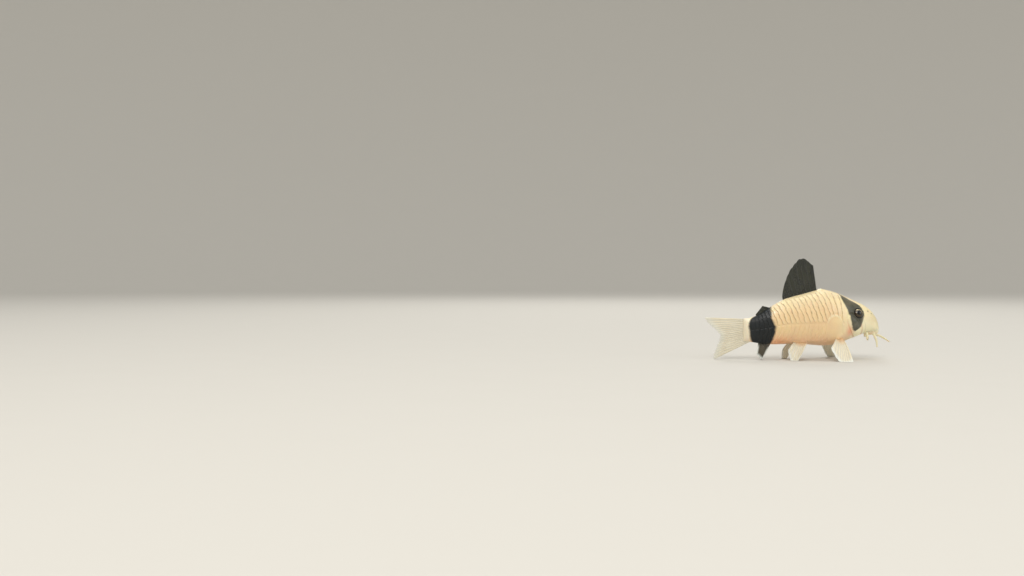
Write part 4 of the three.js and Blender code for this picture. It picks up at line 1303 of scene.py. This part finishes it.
class CatfishColours(bpy.types.PropertyGroup):
    """Colours of the skin, fins, eyes and stage."""

    back: colour_setting("Back", "Upper side of the body", (238, 219, 176))
    flank: colour_setting("Flank", "Middle of the side", (236, 204, 160))
    belly: colour_setting("Belly", "Under side, a little pink", (242, 198, 160))
    vent: colour_setting("Vent", "Warm flush before the anal fin", (234, 160, 116))
    # Also the colour of the painted highlights on the shoulder's rim and on the scutes.
    cheek_and_highlight: colour_setting("Cheek", "Pale sides of the head", (246, 236, 200))
    snout: colour_setting("Snout", "Top and sides of the snout", (234, 219, 178))
    shoulder: colour_setting("Shoulder", "Plate behind the gill cover", (240, 222, 176))
    gill: colour_setting("Gill", "Flesh behind and under the gill cover", (228, 158, 130))
    # Painted shade at the scutes' edges and between the rows; also the colour of the fine dark dots.
    scute_shade_and_dust: colour_setting("Scute edge", "Thin lines at the scutes' rear edges", (140, 98, 60))
    # Also the colour of the painted shade in the head's seams.
    dust_and_seam_shade: colour_setting("Dusk", "Grey dust of the back and fins", (96, 88, 66))
    mask: colour_setting("Mask", "Band over the eye", (50, 53, 44))
    blotch: colour_setting("Blotch", "Band at the tail's root", (20, 25, 27))
    barbel: colour_setting("Barbel", "Barbels and lips", (240, 230, 194))
    lip: colour_setting("Lip", "Deeper tone of the lips", (228, 200, 162))
    ray: colour_setting("Fin ray", "Rays of the clear fins", (243, 234, 206))
    film: colour_setting("Fin film", "Film between the rays of the clear fins", (236, 230, 210))
    ray_shade: colour_setting("Ray shade", "Darker parts of the clear fins", (212, 194, 156))
    dark_ray: colour_setting("Dark ray", "Rays of the dark fins", (36, 38, 28))
    dark_film: colour_setting("Dark film", "Film of the dark fins", (44, 47, 34))
    smoky_ray: colour_setting("Smoky ray", "Rays of the anal fin", (70, 62, 46))
    smoky_film: colour_setting("Smoky film", "Film of the anal fin", (92, 83, 62))
    fin_rim: colour_setting("Fin rim", "Milky outer margin of a fin", (236, 240, 234))
    pupil: colour_setting("Pupil", "Middle of the eye", (6, 7, 6))
    iris: colour_setting("Iris", "Dark part of the iris", (34, 27, 16))
    iris_gold: colour_setting("Iris gold", "Gold flecks of the iris", (104, 82, 42))
    iris_ring: colour_setting("Iris ring", "Thin ring round the pupil", (108, 90, 54))
    # A painted highlight on the eye.
    eye_painted_highlight: colour_setting("Eye crescent", "Pale crescent over the pupil", (214, 196, 146))
    stage: colour_setting("Stage", "Floor and backdrop", (203, 200, 192))


# ---------------------------------------------------------------- operators

class CATFISH_OT_skin(bpy.types.Operator):
    """Makes the skin from snout to tail root, with its scutes, head plates, eye sockets and nostrils"""

    bl_idname = "catfish.skin"
    bl_label = "Skin"

    def execute(self, context):
        rings, values = skin_surface(context.scene.catfish_sizes)
        for key, value in values.items():
            values[key] = np.concatenate([value.ravel(), [value[0].mean(), value[-1].mean()]])
        skin = make_piece("skin", skin_material(context.scene.catfish_colours), *closed_tube(rings), values)
        wear(skin, "skin_flank", "head", "trunk", "tail")
        return {"FINISHED"}


class CATFISH_OT_eyes(bpy.types.Operator):
    """Makes both eyeballs with pupil, iris and wet coat"""

    bl_idname = "catfish.eyes"
    bl_label = "Eyes"

    def execute(self, context):
        material = eye_material(context.scene.catfish_colours)
        points, faces = ball((1, 1, 1), rows=60, columns=80)
        x, y, z = points.T[..., None]
        cornea = 1 + EYE["cornea"] * rise(1 - np.hypot(x, y), 0.3, 0.7)
        across = np.column_stack([x, y, 0 * x])
        for name, side in SIDES:
            out = body_normal(EYE["share"], EYE_TURN, side)
            forward = np.cross(np.array([0, 0, 1.0]), out) * side
            forward -= out * (forward @ out)
            forward /= np.linalg.norm(forward)
            up = np.cross(out, forward) * side
            spots = eye_centre(side) + EYE["radius"] * EYE["fit"] * (x * forward + y * up * np.sign(up[2]))
            spots = spots + EYE["depth"] * EYE["flattening"] * z * cornea * out
            eye = make_piece(f"eyeball_{name}", material, spots, faces, {"across": across})
            wear(eye, "eye", f"eye_{name}")
        return {"FINISHED"}


class CATFISH_OT_mouth(bpy.types.Operator):
    """Makes the lips, the flaps at the mouth's corners and the six barbels as one flesh"""

    bl_idname = "catfish.mouth"
    bl_label = "Mouth and barbels"

    def execute(self, context):
        sizes = context.scene.catfish_sizes
        parts = [lip_ring()]
        for _name, side in SIDES:
            for share, out, height, radii, turn in (LIP_FLAP, CORNER_PAD):
                parts.append(ball(radii, turn, (-share * STANDARD_LENGTH, side * out, height)))
        share, out, height, radii, turn = CHIN_PAD
        parts.append(ball(radii, turn, (-share * STANDARD_LENGTH, out, height)))
        parts += [barbel_tube(*row[1:], sizes) for row in BARBELS]
        flesh = remeshed("mouth", parts, MOUTH_VOXEL, MOUTH_SMOOTHINGS)
        mouth = make_piece("mouth_and_barbels", flesh_material(context.scene.catfish_colours), *flesh)
        wear(mouth, "barbel", *[row[0] for row in BARBELS])
        return {"FINISHED"}


class CATFISH_OT_dark_fins(bpy.types.Operator):
    """Makes the black dorsal and adipose fins and the smoky anal fin"""

    bl_idname = "catfish.dark_fins"
    bl_label = "Dorsal, adipose and anal fins"

    def execute(self, context):
        stout = context.scene.catfish_sizes.dorsal_spine / MM
        colours = context.scene.catfish_colours
        black = (colours.dark_ray, colours.dark_film, colours.blotch, colours.dark_ray)
        smoky = (colours.smoky_ray, colours.smoky_film, colours.blotch, colours.smoky_ray)
        surface = fin_surface(dorsal_lines(), DORSAL, stout, ragged=0.02)
        look = fin_material("dorsal_film", colours, DORSAL, black, (0.86, 0.98), shade=0.5)
        wear(make_piece("fin_dorsal_skin", look, *surface), "fin_black", "fin_dorsal")
        surface = fin_surface(adipose_lines(), ADIPOSE, stout * ADIPOSE["spine_part"], 30, 30, ragged=0.0)
        look = fin_material("adipose_film", colours, ADIPOSE, black, (0.94, 0.98), shade=0.5)
        wear(make_piece("fin_adipose_skin", look, *surface), "fin_black", "fin_adipose")
        surface = fin_surface(anal_lines(), ANAL, ANAL["spine"])
        look = fin_material("anal_film", colours, ANAL, smoky, (0.8, 0.96), (0.95, 0.45, 0.95), shade=0.4)
        wear(make_piece("fin_anal_skin", look, *surface), "fin_smoky", "fin_anal")
        return {"FINISHED"}


class CATFISH_OT_clear_fins(bpy.types.Operator):
    """Makes the clear tail fin and the clear pectoral and pelvic fins"""

    bl_idname = "catfish.clear_fins"
    bl_label = "Tail, pectoral and pelvic fins"

    def execute(self, context):
        sizes, colours = context.scene.catfish_sizes, context.scene.catfish_colours
        clear = (colours.ray, colours.film, colours.ray_shade)
        surface = fin_surface(tail_lines(), CAUDAL, CAUDAL["spine"], rows=80, ragged=0.035)
        tones = (*clear, colours.film)
        look = fin_material(
            "tail_film", colours, CAUDAL, tones, (0.66, 0.82), (0.5, 0.05, 0.0), joints=36.0, shade=0.14)
        wear(make_piece("fin_tail_skin", look, *surface), "fin_clear", "fin_tail_upper", "fin_tail_lower")
        tones = (*clear, colours.flank)
        pairs = (("pectoral", PECTORAL, sizes.pectoral_spine / MM), ("pelvic", PELVIC, PELVIC["spine"]))
        for kind, fin, stout in pairs:
            look = fin_material(
                f"{kind}_film", colours, fin, tones, (0.78, 0.96), (0.9, 0.12, 0.0), joints=24.0)
            for hand, side in SIDES:
                surface = fin_surface(paired_lines(fin, hand, side), fin, stout)
                wear(make_piece(f"fin_{kind}_{hand}_skin", look, *surface), "fin_clear", f"fin_{kind}_{hand}")
        return {"FINISHED"}


class CATFISH_OT_stage(bpy.types.Operator):
    """Makes the round floor that curves up into its backdrop, the soft lights and the camera"""

    bl_idname = "catfish.stage"
    bl_label = "Stage"

    def execute(self, context):
        scene = context.scene
        own = {*frame["nodes"].values(), *frame["bodies"].values()}
        for thing in list(scene.objects):
            loose = thing not in own and "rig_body" not in thing.keys()
            if loose and thing.type in {"MESH", "CAMERA", "LIGHT"}:
                bpy.data.objects.remove(thing)
        flat = np.linspace(STAGE["inner"], STAGE["radius"], STAGE["flat_rings"])[:, None]
        curve = np.linspace(0, math.pi / 2, STAGE["curve_rings"])[1:, None]
        radius = np.concatenate([flat, STAGE["radius"] + STAGE["curve"] * np.sin(curve)])
        height = np.concatenate([0 * flat, STAGE["curve"] * (1 - np.cos(curve))])
        around = np.linspace(0, 2 * math.pi, STAGE["sides"], endpoint=False)
        rings = np.stack([radius * np.cos(around), radius * np.sin(around), height + 0 * around], axis=-1)
        rows, columns = rings.shape[:2]
        points = np.concatenate([rings.reshape(-1, 3), np.zeros((1, 3))]) / MM - FRAME_SHIFT
        faces = [tube_faces(rows, columns)[:, ::-1], fan(rows * columns, np.arange(columns))]
        paper = stage_material(scene.catfish_colours)
        make_piece("stage_floor", paper, points, faces, closed=False)

        for name, spot, size, power, colour in LIGHTS:
            lamp = bpy.data.lights.new(name, "AREA")
            lamp.shape = "DISK"
            lamp.size = size
            lamp.energy = power
            lamp.color = colour
            light = bpy.data.objects.new(name, lamp)
            light.location = spot
            light.rotation_euler = (Vector(LIGHT_TARGET) - Vector(spot)).to_track_quat("-Z", "Y").to_euler()
            scene.collection.objects.link(light)

        world = bpy.data.worlds.new("studio")
        world.use_nodes = True
        for key, value in SKY.items():
            world.node_tree.nodes["Background"].inputs[key].default_value = value
        scene.world = world
        scene.view_settings.view_transform = "Standard"

        lens = bpy.data.cameras.new("photo_view")
        lens.sensor_width = 36.0
        lens.lens = FOCAL_PIXELS * lens.sensor_width / PICTURE_WIDTH
        lens.clip_start = 0.005
        camera = bpy.data.objects.new("photo_view", lens)
        camera.location = VIEWPOINT["place"]
        camera.rotation_euler = (math.pi / 2 + VIEWPOINT["pitch"], 0.0, VIEWPOINT["yaw"])
        scene.collection.objects.link(camera)
        scene.camera = camera
        return {"FINISHED"}


class CATFISH_PT_model(bpy.types.Panel):
    """Lists the model's steps, sizes and colours"""

    bl_idname = "CATFISH_PT_model"
    bl_label = "Armoured catfish"
    bl_space_type = "VIEW_3D"
    bl_region_type = "UI"
    bl_category = "Catfish"

    def draw(self, context):
        layout = self.layout
        for operator in OPERATORS:
            layout.operator(operator.bl_idname)
        for settings in (context.scene.catfish_sizes, context.scene.catfish_colours):
            box = layout.box()
            for key in type(settings).__annotations__:
                box.prop(settings, key)


OPERATORS = (
    CATFISH_OT_stage,
    CATFISH_OT_skin,
    CATFISH_OT_eyes,
    CATFISH_OT_mouth,
    CATFISH_OT_dark_fins,
    CATFISH_OT_clear_fins,
)
CLASSES = (CatfishSizes, CatfishColours, *OPERATORS, CATFISH_PT_model)


def register():
    """Registers the classes and hangs the settings on the scene."""
    for one in CLASSES:
        bpy.utils.register_class(one)
    bpy.types.Scene.catfish_sizes = bpy.props.PointerProperty(type=CatfishSizes)
    bpy.types.Scene.catfish_colours = bpy.props.PointerProperty(type=CatfishColours)


def unregister():
    """Takes the settings and classes away again."""
    del bpy.types.Scene.catfish_colours
    del bpy.types.Scene.catfish_sizes
    for one in reversed(CLASSES):
        bpy.utils.unregister_class(one)


def main():
    register()
    bpy.ops.catfish.stage()
    bpy.ops.catfish.skin()
    bpy.ops.catfish.eyes()
    bpy.ops.catfish.mouth()
    bpy.ops.catfish.dark_fins()
    bpy.ops.catfish.clear_fins()
    bpy.context.view_layer.update()


if __name__ == "__main__":
    main()
